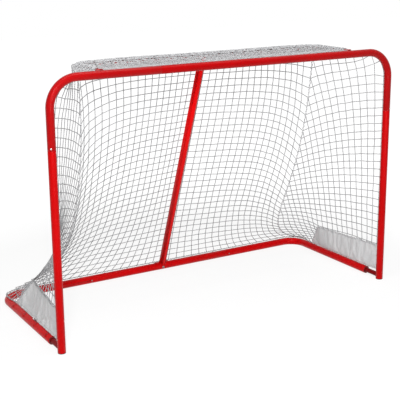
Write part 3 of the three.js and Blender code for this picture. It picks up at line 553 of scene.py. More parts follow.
# == Frame tubes ==
BUTTON_FROM_JOINT, BUTTON_DOME = 0.011, 0.0024
BUTTON_RADIUS, BUTTON_HOLE, BUTTON_PROUD = 0.004, 0.0044, 0.0025
HOLE_CUT = (0.008, 0.030)  # reach of a button's hole, from the tube's axis
LEAF_WALL, LEAF_WIDTH, LEAF_AHEAD, LEAF_BEHIND = 0.0012, 0.007, 0.008, 0.030
FRONT_LEAF = lowest("right_crossbar_snap_button", 1) - GOAL_LINE_Y  # from a tube's axis to the leaf's underside
BASE_LEAF = GOAL_LINE_Y + BASE_REAR_Y - highest("right_base_snap_button", 1)
POST_BUTTON_TURN = math.radians(30)
DOME_ANGLES = np.linspace(0, 1.35, 7)
WELD_RADIUS, WELD_RIPPLE, WELD_RIPPLES, WELD_STEPS = 0.0021, 0.00025, 24, 96
PLUG_EDGE = 0.001
SOCKET_START_Y = FRONT_RADIUS * 0.75


class TubeJoint:
    """Where two tubes meet over a coupler, with the place of the sprung button that locks them."""

    def __init__(self, name, at, along, out, radius, leaf):
        self.name, self.radius, self.leaf = name, radius, leaf
        self.along, self.out = unit(along), unit(out)
        self.button_at = np.asarray(at) + self.along * BUTTON_FROM_JOINT

    def hole_cutter(self):
        near, far = (self.button_at + self.out * reach for reach in HOLE_CUT)
        return rod("button_hole", near, far, BUTTON_HOLE, self.along, sides=40)

    def build_button(self):
        """The domed button, riveted to its leaf of spring strip."""
        tip = self.radius + BUTTON_PROUD
        shoulder, foot = tip - BUTTON_DOME, self.leaf + LEAF_WALL / 2
        dome = [(BUTTON_RADIUS * math.cos(a), shoulder + BUTTON_DOME * math.sin(a)) for a in DOME_ANGLES]
        button = turned_piece("button", [(0, foot), (BUTTON_RADIUS, foot), *dome, (0, tip)],
                              self.button_at, self.out, sides=36)
        reach = (LEAF_AHEAD - LEAF_BEHIND) / 2
        leaf = block("leaf", self.button_at + self.along * reach + self.out * foot,
                     self.along, self.out, LEAF_AHEAD + LEAF_BEHIND, LEAF_WIDTH, LEAF_WALL)
        # buttons on the base tubes take the zinc with painted shade
        zinc = SHADED_ZINC if self.radius == BASE_RADIUS else ZINC
        dress(join(f"{self.name}_button_and_leaf", button, leaf), zinc, f"{self.name}_snap_button",
              body=f"{self.name}_button")


def tube_joints():
    joints = {}
    for side, sign in SIDES.items():
        post_out = (sign * math.sin(POST_BUTTON_TURN), -math.cos(POST_BUTTON_TURN), 0)
        for kind, *place in (
                ("post", (sign * POST_X, 0, POST_JOINT_Z), Z, post_out, FRONT_RADIUS, FRONT_LEAF),
                ("crossbar", (sign * CROSSBAR_JOINT_X, 0, CROSSBAR_Z), sign * X, Y, FRONT_RADIUS, FRONT_LEAF),
                ("base", (sign * BASE_JOINT_X, BASE_REAR_Y, BASE_Z), sign * X, -Y, BASE_RADIUS, BASE_LEAF)):
            joints[f"{side}_{kind}"] = TubeJoint(f"{side}_{kind}", *place)
    return joints


JOINTS = tube_joints()


def weld(name, at, main_radius, branch_radius, branch, main, material):
    """A rippled bead where a branch leaves a main tube whose axis runs along main through the point."""
    turn = np.linspace(0, 2 * math.pi, WELD_STEPS, endpoint=False)[:, None]
    branch, main = unit(branch), unit(main)
    rise = np.sqrt(main_radius ** 2 - (branch_radius * np.sin(turn)) ** 2)
    centres = (np.asarray(at) + branch_radius * np.cos(turn) * main
               + branch_radius * np.sin(turn) * np.cross(branch, main) + rise * branch)
    along = unit(np.roll(centres, -1, axis=0) - np.roll(centres, 1, axis=0))
    radii = WELD_RADIUS + WELD_RIPPLE * np.sin(turn[:, 0] * WELD_RIPPLES)
    return dress(ring_skin(name, centres, along, radii, square_to(branch, along), True, sides=12), material)


def build_foot_plug(side, x):
    node = f"{side}_foot_plug"
    stem = FRONT_RADIUS - TUBE_WALL - GAP
    low, high = lowest(node, 2), highest(node, 2)
    rim = (highest(node, 0) - lowest(node, 0)) / 2
    profile = [(0, low), (rim - PLUG_EDGE, low), (rim, low + PLUG_EDGE), (rim, POST_FOOT_Z - GAP),
               (stem, POST_FOOT_Z - GAP), (stem, high - PLUG_EDGE), (stem - PLUG_EDGE, high), (0, high)]
    dress(turned_piece(f"{side}_round_plug", profile, (x, 0, 0), Z, sides=48), PLASTIC, node)


def build_front_frame():
    for side, sign in SIDES.items():
        x = sign * POST_X
        dress(straight_tube(f"{side}_post_tube", (x, 0, POST_FOOT_Z), (x, 0, POST_JOINT_Z),
                            FRONT_RADIUS, TUBE_WALL, X), SHADED_POST_PAINT, f"{side}_post")
        dress(straight_tube(f"{side}_post_stub", (x, FRONT_RADIUS - TUBE_WALL / 2, BASE_Z),
                            (x, STUB_END_Y, BASE_Z), STUB_RADIUS, STUB_WALL, X), STUB_PAINT)
        weld(f"{side}_stub_weld", (x, 0, BASE_Z), FRONT_RADIUS, STUB_RADIUS, Y, Z, STUB_PAINT)
        build_foot_plug(side, x)

        route = bent_route([(x, 0, POST_JOINT_Z + GAP), (x, 0, CROSSBAR_Z),
                            (sign * (CROSSBAR_JOINT_X + GAP), 0, CROSSBAR_Z)], CORNER_BEND)
        bend = tube("bend", route, FRONT_RADIUS, TUBE_WALL, Y)
        carve(bend, JOINTS[f"{side}_post"].hole_cutter(), JOINTS[f"{side}_crossbar"].hole_cutter())
        x = sign * SHELF_X
        socket = straight_tube("socket", (x, SOCKET_START_Y, SHELF_Z), (x, SOCKET_END_Y, SHELF_Z),
                               SOCKET_RADIUS, SOCKET_WALL, X)
        dress(join(f"{side}_corner_bend", bend, socket), SHADED_BEND_PAINT, f"{side}_corner_tube")
        weld(f"{side}_socket_weld", (x, 0, SHELF_Z), FRONT_RADIUS, SOCKET_RADIUS, Y, X, SHADED_BEND_PAINT)
    dress(tube_across("crossbar_tube", CROSSBAR_JOINT_X, 0, CROSSBAR_Z, FRONT_RADIUS, TUBE_WALL, Y),
          SHADED_BAR_PAINT, "crossbar_middle")


def build_base():
    for side, sign in SIDES.items():
        x = sign * POST_X
        route = bent_route([(x, SIDE_TUBE_FRONT_Y, BASE_Z), (x, BASE_REAR_Y, BASE_Z),
                            (sign * (BASE_JOINT_X + GAP), BASE_REAR_Y, BASE_Z)], BASE_BEND)
        bend = tube(f"{side}_base_bend", route, BASE_RADIUS, TUBE_WALL, Z)
        carve(bend, JOINTS[f"{side}_base"].hole_cutter())
        dress(bend, BASE_PAINT, f"{side}_base_corner")
        node = f"{side}_side_tube_bush"
        ends = [(x, limit - GOAL_LINE_Y, BASE_Z) for limit in (lowest(node, 1), highest(node, 1))]
        outer = BASE_RADIUS - TUBE_WALL - GAP
        bush = straight_tube(f"{side}_round_bush", *ends, outer, outer - STUB_RADIUS - GAP, X)
        dress(bush, DARK_PLASTIC, node)
    dress(tube_across("back_tube", BASE_JOINT_X, BASE_REAR_Y, BASE_Z, BASE_RADIUS, TUBE_WALL, Z),
          BASE_PAINT, "base_back_tube")


POST_HEAD, POST_FOOT = np.array([0, SHELF_Y, SHELF_Z]), np.array([0, BASE_REAR_Y, BASE_Z])
POST_DOWN = unit(POST_FOOT - POST_HEAD)
HEAD_INSET, FOOT_INSET, FOOT_CLEARANCE = 0.006, 0.014, 0.003
CUTTER_HALF = 0.03


def build_shelf_and_sloping_post():
    for side, sign in SIDES.items():
        route = bent_route([(sign * SHELF_X, SHELF_FRONT_Y, SHELF_Z), (sign * SHELF_X, SHELF_Y, SHELF_Z),
                            (sign * GAP, SHELF_Y, SHELF_Z)], SHELF_BEND)
        dress(tube(f"{side}_shelf_tube", route, SHELF_RADIUS, TUBE_WALL, Z), SHADED_BAR_PAINT, f"{side}_shelf_bar")
    dress(tube_across("tee_sleeve", TEE_HALF, SHELF_Y, SHELF_Z, SOCKET_RADIUS, SOCKET_WALL, Z),
          SHADED_BAR_PAINT, "shelf_tee")
    post = straight_tube("sloping_post", POST_HEAD + POST_DOWN * HEAD_INSET, POST_FOOT - POST_DOWN * FOOT_INSET,
                         FRONT_RADIUS, TUBE_WALL, X)
    carve(post, *(rod("cutter", at - X * CUTTER_HALF, at + X * CUTTER_HALF, radius, Z) for at, radius in (
        (POST_HEAD, SOCKET_RADIUS + GAP), (POST_FOOT, BASE_RADIUS + FOOT_CLEARANCE))))
    dress(post, LIT_SLOPING_PAINT, "centre_post")


SADDLE_INNER = BASE_RADIUS / math.cos(math.pi / 12) + GAP
SADDLE_OUTER = SADDLE_INNER + 0.0025
SADDLE_HALF, SADDLE_EDGE = 0.040, 0.0008
SADDLE_ARC = np.radians(np.linspace(-30, 125, 40))
BOLT_RADIUS, BOLT_EDGE, HEAD_RADIUS, HEAD_HEIGHT = 0.004, 0.0008, 0.008, 0.004
CROWN_ANGLES = np.linspace(0.2, 1.571, 9)


def build_saddle():
    """The curved plate at the sloping post's foot."""
    outline = [(SADDLE_OUTER, a) for a in SADDLE_ARC] + [(SADDLE_INNER, a) for a in SADDLE_ARC[::-1]]
    around = len(outline)
    ends = ((-SADDLE_HALF, SADDLE_EDGE), (-SADDLE_HALF + SADDLE_EDGE, 0),
            (SADDLE_HALF - SADDLE_EDGE, 0), (SADDLE_HALF, SADDLE_EDGE))
    points = []
    for x, inset in ends:
        for radius, a in outline:
            radius -= inset * (radius > SADDLE_INNER)
            points.append(POST_FOOT + np.array((x, radius * math.cos(a), radius * math.sin(a))))
    faces = grid_faces(len(ends), around)
    for start, step in ((0, -1), ((len(ends) - 1) * around, 1)):
        for i in range(around // 2 - 1):
            face = (start + i, start + i + 1, start + around - 2 - i, start + around - 1 - i)
            faces.append(face[::step])
    dress(new_piece("saddle_plate", points, faces), BASE_PAINT, "centre_post_saddle")
    weld("saddle_weld", POST_FOOT, SADDLE_OUTER, FRONT_RADIUS, -POST_DOWN, X, BASE_PAINT)


def build_bolt():
    """The bolt through the saddle's plate and its nut."""
    z, front = middle("saddle_bolt", 2), lowest("saddle_bolt", 1) - GOAL_LINE_Y
    length = highest("saddle_bolt", 1) - lowest("saddle_bolt", 1)
    crown = [(HEAD_RADIUS * math.sin(a), HEAD_HEIGHT * (1 - math.cos(a))) for a in CROWN_ANGLES]
    profile = [(0, 0), *crown, (BOLT_RADIUS, HEAD_HEIGHT), (BOLT_RADIUS, length - BOLT_EDGE),
               (BOLT_RADIUS - BOLT_EDGE, length), (0, length)]
    dress(turned_piece("bolt", profile, (0, front, z), Y, sides=40), SHADED_ZINC, "saddle_bolt")
    flat = (highest("saddle_nut", 2) - lowest("saddle_nut", 2)) / 2
    ends = [(0, limit("saddle_nut", 1) - GOAL_LINE_Y, z) for limit in (lowest, highest)]
    dress(straight_tube("nut", *ends, flat, flat - BOLT_RADIUS - GAP, X, sides=6), SHADED_ZINC, "saddle_nut")


build_front_frame()
build_base()
build_shelf_and_sloping_post()
build_saddle()
build_bolt()
for joint in JOINTS.values():
    joint.build_button()


# == Shape of the hanging net ==
WRAP_ANGLE, FOOT_WRAP_ANGLE = math.radians(35), math.radians(60)
WRAP_OUT = NET_WRAP * math.cos(WRAP_ANGLE)
NET_TOP_Z = SHELF_Z + NET_WRAP * math.sin(WRAP_ANGLE)
NET_FOOT_Z = BASE_Z + BASE_WRAP * math.sin(FOOT_WRAP_ANGLE)
FOOT_OUT = BASE_WRAP * math.cos(FOOT_WRAP_ANGLE)
SEAM_WAIST_X = 0.650
SEAM_LEAVES_SHELF, SEAM_NEARS_BASE, SEAM_GOES_BACK = 4, 12, 2.3  # powers: the higher, the sharper
NET_SET_BACK = FRONT_RADIUS + 0.0035
FRONT_EDGE_INSET = 0.008
HEM_FRONT_Z = 0.196
RIDGE = 0.03  # rounding of the back panel where the sloping post holds it out
TEE_PUSH, TEE_REACH = 0.005, 0.09  # how far the tee holds the back panel out, and how far to each side
EDGE_FALL = 0.10  # of a side panel's top edge for each metre that it runs out from the shelf
SKIRT_TOP_CORNER = np.array((0.876, 0.478, 0.190))
SKIRT_FOOT_CORNER = np.array((0.928, 0.600, 0.0475))
HEM_BOW = np.array((0.008, 0.0, 0.002))

NET_ROWS = 34
HALF_COLUMNS = 18  # of the back panel, from the sloping post to a seam
TOP_ROWS = 8
SIDE_COLUMNS = 20  # of a side panel at its foot
TOP_COLUMNS = 7.5  # and at its top, where it gains one at every second row
FRONT_RUNS = (  # uprights on the front frame, and how far out along it they are tied
    (0, 0.5, 1, 2, 3), (0.293, 0.205, 0.135, 0.070, 0.0))
POST_ROW = 4  # the first row that ends on the post
HEM_ROW, HEM_COLUMNS = 26, 12  # the row along the top of the skirt
HEM_END_COLUMNS = 0.4  # that each row below it falls back, down the skirt's rear end
FOOT_COLUMN = 15.6
SHORTEST_RUN = 0.4  # in meshes, for the pull of a cord


class Hang(NamedTuple):
    """How one half of the net hangs."""
    drop: float  # how far the rows have sunk where they reach the seam
    sharpness: float  # the higher, the nearer the seam they start to sink
    turn_in: float  # the higher, the nearer the seam the back panel turns forward
    sag: float  # how far it hangs forward between the sloping post and the seam
    crowd: float  # how much its uprights crowd together next to the seam, at the top
    lift: float  # how far a knot of the side panel is drawn up between its neighbours
    edge_run: float  # how far out from the shelf's socket the side panel's top edge meets the crossbar
    row_ends: tuple  # the uprights, counted from the post, where the rows above the post end


HANGS = {
    -1: Hang(0.200, 5.0, 1.6, 0.040, 0.24, 0.0001, 0.097, (1.6, 1, 0.7, 0.35)),
    1: Hang(0.165, 4.5, 1.0, 0.040, 0.0, 0.0007, 0.0, (3, 2, 1, 0.5)),
}


def mix(low, high, share):
    return low + (high - low) * share


def stack(x, y, z):
    return np.stack(np.broadcast_arrays(x, y, z), axis=-1)


def share_grid(columns, rows):
    """Two grids that run from 0 to 1: one over the columns, and one over the rows."""
    return np.meshgrid(np.linspace(0, 1, columns + 1), np.linspace(0, 1, rows + 1), indexing="ij")


def rounded_edge(x, half_width, depth, bend, out):
    """Distance back of an edge that follows a bar across the goal and its rounded corner."""
    past = np.maximum(0, np.abs(x) - (half_width - bend))
    return depth - bend + np.sqrt(np.maximum(0, (bend + out) ** 2 - past ** 2))


def shelf_edge_y(x):
    return rounded_edge(x, SHELF_X, SHELF_Y, SHELF_BEND, WRAP_OUT)


def foot_edge_y(x):
    return rounded_edge(x, POST_X, BASE_REAR_Y, BASE_BEND, FOOT_OUT)


def corner_point(half_width, bend, out):
    return half_width - bend + (bend + out) * math.sqrt(0.5)


SEAM_TOP_X = corner_point(SHELF_X, SHELF_BEND, WRAP_OUT)
SEAM_FOOT_X = corner_point(POST_X, BASE_BEND, FOOT_OUT)


def seam_at(fall):
    """The seam between the back panel and the right side panel, from the shelf (0) to the base corner (1)."""
    x = (SEAM_WAIST_X + (SEAM_TOP_X - SEAM_WAIST_X) * (1 - fall) ** SEAM_LEAVES_SHELF
         + (SEAM_FOOT_X - SEAM_WAIST_X) * fall ** SEAM_NEARS_BASE)
    y = mix(shelf_edge_y(SEAM_TOP_X), foot_edge_y(SEAM_FOOT_X), fall ** SEAM_GOES_BACK)
    return stack(x, y, mix(NET_TOP_Z, NET_FOOT_Z, fall))


def seam_fall(u, hang):
    """The share of its fall that the seam has made where the net's row u meets it."""
    return u + hang.drop * np.sin(math.pi * u ** 0.85) / (NET_TOP_Z - NET_FOOT_Z)


def half_back_net(s, u, hang):
    """Half of the back panel: s from the sloping post (0) to the seam (1), row u from shelf to base tube."""
    seam = seam_at(seam_fall(u, hang))
    x = (s + hang.crowd * (1 - u) * (s ** 4 - s ** 7)) * seam[..., 0]
    z = mix(mix(NET_TOP_Z, NET_FOOT_Z, u), seam[..., 2], s ** hang.sharpness)
    held = mix(shelf_edge_y(0), foot_edge_y(0), u) + TEE_PUSH * (1 - u) * np.maximum(0, 1 - x / TEE_REACH)
    upper = u < 0.5
    edge_y = np.where(upper, shelf_edge_y(x), foot_edge_y(x))
    corner_y = np.where(upper, shelf_edge_y(SEAM_TOP_X), foot_edge_y(SEAM_FOOT_X))
    straight_y = np.where(upper, shelf_edge_y(0), foot_edge_y(0))
    tent = (np.hypot(s, RIDGE) - RIDGE) / (math.hypot(1, RIDGE) - RIDGE)
    share = mix(tent ** hang.turn_in, (straight_y - edge_y) / (straight_y - corner_y), np.abs(2 * u - 1) ** 6)
    sag = hang.sag * 4 * tent * (1 - s) * np.sin(math.pi * u)
    return stack(x, mix(held, seam[..., 1], share) - sag, z)


def front_edge(run):
    """Behind the front frame: out along the crossbar from the shelf's socket and down round its corner."""
    bend = CORNER_BEND - FRONT_EDGE_INSET
    level = POST_X - CORNER_BEND - (SHELF_X + WRAP_OUT)
    turn = np.clip((run - level) / bend, 0, math.pi / 2)
    x = SHELF_X + WRAP_OUT + np.minimum(run, level) + bend * np.sin(turn)
    return stack(x, NET_SET_BACK, CROSSBAR_Z - CORNER_BEND + bend * np.cos(turn))


def side_top_edge(share, hang):
    """The top edge of a side panel, from the crossbar (0) back to the corner of the shelf bar (1)."""
    share = np.asarray(share, float)
    bend = SHELF_BEND + WRAP_OUT
    straight = SHELF_Y - SHELF_BEND - NET_SET_BACK
    run = share * (straight + bend * math.pi / 4)
    turn = np.maximum(0, run - straight) / bend
    x = SHELF_X - SHELF_BEND + bend * np.cos(turn)
    y = NET_SET_BACK + np.minimum(run, straight) + bend * np.sin(turn)
    out = hang.edge_run * (1 - share)
    return stack(x + out, y, NET_TOP_Z - EDGE_FALL * out)


def lower_edge(column):
    """Along the top of the skirt, down its rear end and on over the base tube to the seam's foot."""
    if column <= HEM_COLUMNS:
        share = column / HEM_COLUMNS
        start = np.array((POST_X - FRONT_EDGE_INSET, NET_SET_BACK, HEM_FRONT_Z))
        return mix(start, SKIRT_TOP_CORNER, share) + HEM_BOW * math.sin(math.pi * share)
    if column <= FOOT_COLUMN:
        return mix(SKIRT_TOP_CORNER, SKIRT_FOOT_CORNER, (column - HEM_COLUMNS) / (FOOT_COLUMN - HEM_COLUMNS))
    share = (column - FOOT_COLUMN) / (SIDE_COLUMNS - FOOT_COLUMN)
    straight = BASE_REAR_Y - BASE_BEND - SKIRT_FOOT_CORNER[1]
    run = share * (straight + BASE_BEND * math.pi / 4)
    turn = max(0.0, run - straight) / BASE_BEND
    out = mix(SKIRT_FOOT_CORNER[0] - POST_X, FOOT_OUT, share)
    x = POST_X - BASE_BEND + (BASE_BEND + out) * math.cos(turn)
    y = SKIRT_FOOT_CORNER[1] + min(run, straight) + (BASE_BEND + out) * math.sin(turn)
    return stack(x, y, BASE_Z + math.sqrt(BASE_WRAP ** 2 - out ** 2))


# == The net as cords between knots ==
def seam_column(row):
    return min(TOP_COLUMNS + row / 2, SIDE_COLUMNS)


def front_column(row, hang):
    if row < POST_ROW:
        return hang.row_ends[row]
    if row <= HEM_ROW:
        return 0
    return FOOT_COLUMN if row == NET_ROWS else HEM_COLUMNS + HEM_END_COLUMNS * (row - HEM_ROW)


def edge_knot(column, row, hang):
    """Where a knot on the edge of a side panel sits."""
    if row == int(row) and column == seam_column(row):
        return seam_at(seam_fall(row / NET_ROWS, hang))
    first = hang.row_ends[0]
    if row < POST_ROW and column >= first:
        return side_top_edge((column - first) / (TOP_COLUMNS - first), hang)
    if row < POST_ROW:
        return front_edge(float(np.interp(column, *FRONT_RUNS)))
    if row < HEM_ROW:
        share = (row - POST_ROW) / (HEM_ROW - POST_ROW)
        z = mix(CROSSBAR_Z - CORNER_BEND, HEM_FRONT_Z, share)
        return np.array((POST_X - FRONT_EDGE_INSET, NET_SET_BACK, z))
    return lower_edge(column)


def side_chains(hang):
    """The rows and uprights of a side panel, each as a list of its knots (column, row)."""
    ends = {row: (front_column(row, hang), seam_column(row)) for row in range(NET_ROWS + 1)}
    rows = []
    for row in range(1, NET_ROWS + 1):
        first, last = ends[row]
        between = range(math.floor(first) + 1, math.ceil(last))
        rows.append([(first, row), *((column, row) for column in between), (last, row)])
    uprights = []
    for column in range(1, SIDE_COLUMNS):
        inside = [row for row in ends if ends[row][0] < column < ends[row][1]]
        chain = [(column, row) for row in inside]
        above, below = inside[0] - 1, inside[-1] + 1
        if above >= 0:
            chain.insert(0, (column, above if column in ends[above] else above + 0.5))
        if below <= NET_ROWS:
            chain.append((column, below if column in ends[below] else below - 0.5))
        uprights.append(chain)
    return rows, uprights


def hang_side_panel(hang):
    """Places of all knots: those on the edge are tied, the others settle between their neighbours."""
    rows, uprights = side_chains(hang)
    knots = sorted({knot for chain in rows + uprights for knot in chain})
    number = {knot: i for i, knot in enumerate(knots)}

    def tied(column, row):
        on_hem = row == HEM_ROW and column <= HEM_COLUMNS
        return (row != int(row) or row in (0, NET_ROWS) or on_hem
                or column <= front_column(row, hang) or column >= seam_column(row))

    pull = np.zeros((len(knots), len(knots)))
    for chain in rows + uprights:
        for one, other in zip(chain, chain[1:]):
            a, b = number[one], number[other]
            stiffness = 1 / max(abs(one[0] - other[0]) + abs(one[1] - other[1]), SHORTEST_RUN)
            pull[[a, b], [b, a]] -= stiffness
            pull[[a, b], [a, b]] += stiffness
    load = np.zeros((len(knots), 3))
    load[:, 2] = hang.lift
    for i, (column, row) in enumerate(knots):
        if tied(column, row):
            pull[i] = 0
            pull[i, i] = 1
            load[i] = edge_knot(column, row, hang)
    places = np.linalg.solve(pull, load)
    at = {knot: places[i] for knot, i in number.items()}
    return [[np.array([at[knot] for knot in chain]) for chain in chains] for chains in (rows, uprights)]


def side_cords(sign):
    """Rows and uprights of the side panel on one side."""
    return [[mirrored(chain, sign) for chain in chains] for chains in hang_side_panel(HANGS[sign])]


def back_cords():
    """Rows and uprights of the back panel, one list of points each."""
    s, u = share_grid(HALF_COLUMNS, NET_ROWS)
    left = mirrored(half_back_net(s, u, HANGS[-1]), -1)
    right = half_back_net(s, u, HANGS[1])
    centre = (left[:1] + right[:1]) / 2
    grid = np.concatenate([left[:0:-1], centre, right[1:]])
    return [grid[:, row] for row in range(1, NET_ROWS + 1)], list(grid[1:-1])


TOP_ANGLE = math.radians(75)
TOP_FRONT_Y = 0.016
TOP_FRONT_Z = CROSSBAR_Z + 0.0175
TOP_SAG = 0.010


def top_cords():
    """The top panel: tied along the crossbar, laid over the shelf bar and slack between them."""
    s, t = share_grid(HALF_COLUMNS, TOP_ROWS)
    rear_lift = NET_WRAP * math.sin(TOP_ANGLE)
    halves = []
    for sign, hang in HANGS.items():
        edge = side_top_edge(t, hang)
        x = s * edge[..., 0]
        rear = rounded_edge(s * SEAM_TOP_X, SHELF_X, SHELF_Y, SHELF_BEND, NET_WRAP * math.cos(TOP_ANGLE))
        y = mix(mix(TOP_FRONT_Y, rear, t), edge[..., 1], s ** 8)
        slack = TOP_SAG * np.sin(math.pi * t) * (1 - s ** 6)
        z = mix(mix(TOP_FRONT_Z, SHELF_Z + rear_lift, t), edge[..., 2], s ** 8) - slack
        halves.append(stack(sign * x, y, z))
    grid = np.concatenate([halves[0][:0:-1], halves[1]])
    return [grid[:, row] for row in range(TOP_ROWS + 1)], list(grid)


# == Geometry Nodes that turn lines of points into twisted cord ==
class GeometryTree(Nodes):
    """A geometry tree with named inputs."""

    def __init__(self, name, **inputs):
        super().__init__(bpy.data.node_groups.new(name, "GeometryNodeTree"))
        self.sockets = {}
        for label, kind in {"Geometry": "Geometry", **inputs, "Material": "Material"}.items():
            label = label.replace("_", " ")
            item = self.tree.interface.new_socket(label, in_out="INPUT", socket_type=f"NodeSocket{kind}")
            self.sockets[label] = item.identifier
        self.tree.interface.new_socket("Geometry", in_out="OUTPUT", socket_type="NodeSocketGeometry")
        self.given = self.tree.nodes.new("NodeGroupInput").outputs

    def finish(self, geometry):
        smooth = self.node("GeometryNodeSetShadeSmooth", Geometry=geometry)
        real = self.node("GeometryNodeRealizeInstances", Geometry=smooth)
        coloured = self.node("GeometryNodeSetMaterial", Geometry=real, Material=self.given["Material"])
        self.node("NodeGroupOutput", Geometry=coloured)
        return self

    def apply(self, piece, **values):
        """Runs the tree on a piece with these inputs, and keeps what it makes as the piece's mesh."""
        modifier = piece.modifiers.new(self.tree.name, "NODES")
        modifier.node_group = self.tree
        for label, value in values.items():
            modifier[self.sockets[label.replace("_", " ")]] = value
        bake_modifiers(piece)


def cord_tree():
    """Lines of points become laid cord: a section with three lobes that turns as it goes."""
    tree = GeometryTree("laid_cord", Radius="Float", Lobe="Float", Turns_per_Metre="Float", Cuts="Int")
    line = tree.node("GeometryNodeMeshToCurve", Mesh=tree.given["Geometry"])
    fine = tree.node("GeometryNodeSubdivideCurve", Curve=line, Cuts=tree.given["Cuts"])
    length = tree.node("GeometryNodeSplineParameter").outputs["Length"]
    turns = tree.calculate("MULTIPLY", length, tree.given["Turns per Metre"])
    angle = tree.calculate("MULTIPLY", turns, 2 * math.pi)
    laid = tree.node("GeometryNodeSetCurveTilt", Curve=fine, Tilt=angle)
    ring = tree.node("GeometryNodeCurvePrimitiveCircle", Resolution=6, Radius=tree.given["Radius"])
    odd = tree.calculate("MODULO", tree.node("GeometryNodeInputIndex"), 2.0)
    swell = tree.calculate("MULTIPLY", odd, tree.given["Lobe"])
    outward = tree.node("ShaderNodeVectorMath", {"operation": "SCALE"},
                        Vector=tree.node("GeometryNodeInputPosition"), Scale=swell)
    section = tree.node("GeometryNodeSetPosition", Geometry=ring, Offset=outward)
    return tree.finish(tree.node("GeometryNodeCurveToMesh", Curve=laid, Profile_Curve=section, Fill_Caps=True))


def scatter_tree():
    """The same part at every point, standing along the point's own direction."""
    tree = GeometryTree("part_at_each_point", Part="Object")
    part = tree.node("GeometryNodeObjectInfo", Object=tree.given["Part"])
    out = tree.node("GeometryNodeInputNamedAttribute", {"data_type": "FLOAT_VECTOR"}, Name="out")
    turn = tree.node("FunctionNodeAlignRotationToVector", {"axis": "Z"}, Vector=out)
    return tree.finish(tree.node("GeometryNodeInstanceOnPoints", Points=tree.given["Geometry"],
                                 Instance=part.outputs["Geometry"], Rotation=turn))


LAID_CORD = cord_tree()
SCATTER = scatter_tree()
CORD_BODY, CORD_LOBE = 0.9, 0.28  # of its radius, the hollows of the section, and of those, the lobes' swell


def scattered_piece(name, profile, sides, places, directions, material):
    """A turned part, given in millimetres, set at many places, each along its direction, as one piece."""
    points, faces = turned(np.array(profile) / 1000, sides)
    part = mesh_object("scattered_part", points, faces=faces, in_scene=False)
    piece = mesh_object(name, places)
    settle_at_goal_line(piece)
    out = piece.data.attributes.new("out", "FLOAT_VECTOR", "POINT")
    out.data.foreach_set("vector", np.asarray(directions, float).ravel())
    SCATTER.apply(piece, Part=part, Material=material)
    bpy.data.objects.remove(part)
    return dress(piece, material)


def cord_piece(name, chains, radius, material, *nodes, cuts=4, turns=45.0):
    """Each chain of points as a cord, all as one piece."""
    edges, first = [], 0
    for chain in chains:
        edges += [(first + i, first + i + 1) for i in range(len(chain) - 1)]
        first += len(chain)
    piece = mesh_object(name, np.concatenate(chains), edges)
    settle_at_goal_line(piece)
    LAID_CORD.apply(piece, Radius=radius * CORD_BODY, Lobe=CORD_LOBE, Turns_per_Metre=turns, Cuts=cuts,
                    Material=material)
    return dress(piece, material, *nodes)


NO_CORDS_WAY = unit((0.31, 0.21, 0.93))  # a direction that no cord runs in
luck = np.random.default_rng(29)
WANDER, WANDER_START = luck.uniform(-150, 150, (3, 3)), luck.uniform(0, 2 * math.pi, 3)
WANDER_REACH = 0.0011
KNOT = [(0, -1.6), (2.9, -1.2), (3.9, 0), (2.8, 1.3), (0, 1.7)]  # radius and height in millimetres


def uneven(chains):
    """Small wanders of the knots, the same for all the cords that pass a place."""
    return [chain + WANDER_REACH * np.sin(chain @ WANDER + WANDER_START) for chain in chains]


def add_knots(name, rows):
    places = np.concatenate(rows)
    scattered_piece(name, KNOT, 6, places, luck.normal(size=places.shape), NET_TWINE)


def add_lacing(name, cords, around, pitch, radius, material):
    """A lace wound round each cord."""
    cord_piece(name, [helix(cord, around, pitch) for cord in cords], radius, material, cuts=1)


def lengths_along(points):
    return np.concatenate([[0], np.cumsum(np.linalg.norm(np.diff(points, axis=0), axis=1))])


def even_steps(points, step):
    """The same line in even steps."""
    lengths = lengths_along(points)
    wanted = np.linspace(0, lengths[-1], max(2, round(lengths[-1] / step) + 1))
    return np.stack([np.interp(wanted, lengths, points[:, axis]) for axis in range(3)], axis=-1)


def helix(line, radius, pitch, start=0.0, steps=10):
    """A line wound round another."""
    centres = even_steps(np.asarray(line), pitch / steps)
    along = unit(np.gradient(centres, axis=0))
    side = square_to(NO_CORDS_WAY, along)
    angle = (start + np.arange(len(centres)) * 2 * math.pi / steps)[:, None]
    return centres + radius * (np.cos(angle) * side + np.sin(angle) * np.cross(along, side))


def clear_runs(line, clear):
    """The stretches of a line where clear is true."""
    runs, run = [], []
    for point, free in zip(line, clear):
        if free:
            run.append(point)
        elif len(run) > 1:
            runs.append(np.array(run))
        if not free:
            run = []
    return runs + ([np.array(run)] if len(run) > 1 else [])


CLEAR_OF_POST = 0.002


def clear_of_post(line):
    """Where a line stays off the sloping post."""
    from_head = line - POST_HEAD
    along = from_head @ POST_DOWN
    off = np.linalg.norm(from_head - along[:, None] * POST_DOWN, axis=1)
    return (off > FRONT_RADIUS + CLEAR_OF_POST) | (along < -CLEAR_OF_POST)


ROLL_START_Y = SOCKET_END_Y + 0.004
ROLL_RADII = (0.0162, 0.0200)
ROLL_CORDS, ROLL_STEP = 20, 0.0095
ROLL_SWAY, ROLL_SWELL = 0.076, 0.052  # wavelengths of a cord's wander round the bar, and off it
SWAY_SHIFT, SWELL_SHIFT = 2.4, 1.7  # by which each cord's wander is out of step with the next one's
SWAY_REACH = 0.4  # of the distance between two cords
WINDING_RADIUS = 0.0203
WINDINGS = ((1, 0.021, 0.0), (-1, 0.034, 2.1))  # which way along the bar, pitch and angle at its start
OVER_TEE, TEE_MARGIN = SOCKET_RADIUS + 0.0026, 0.006


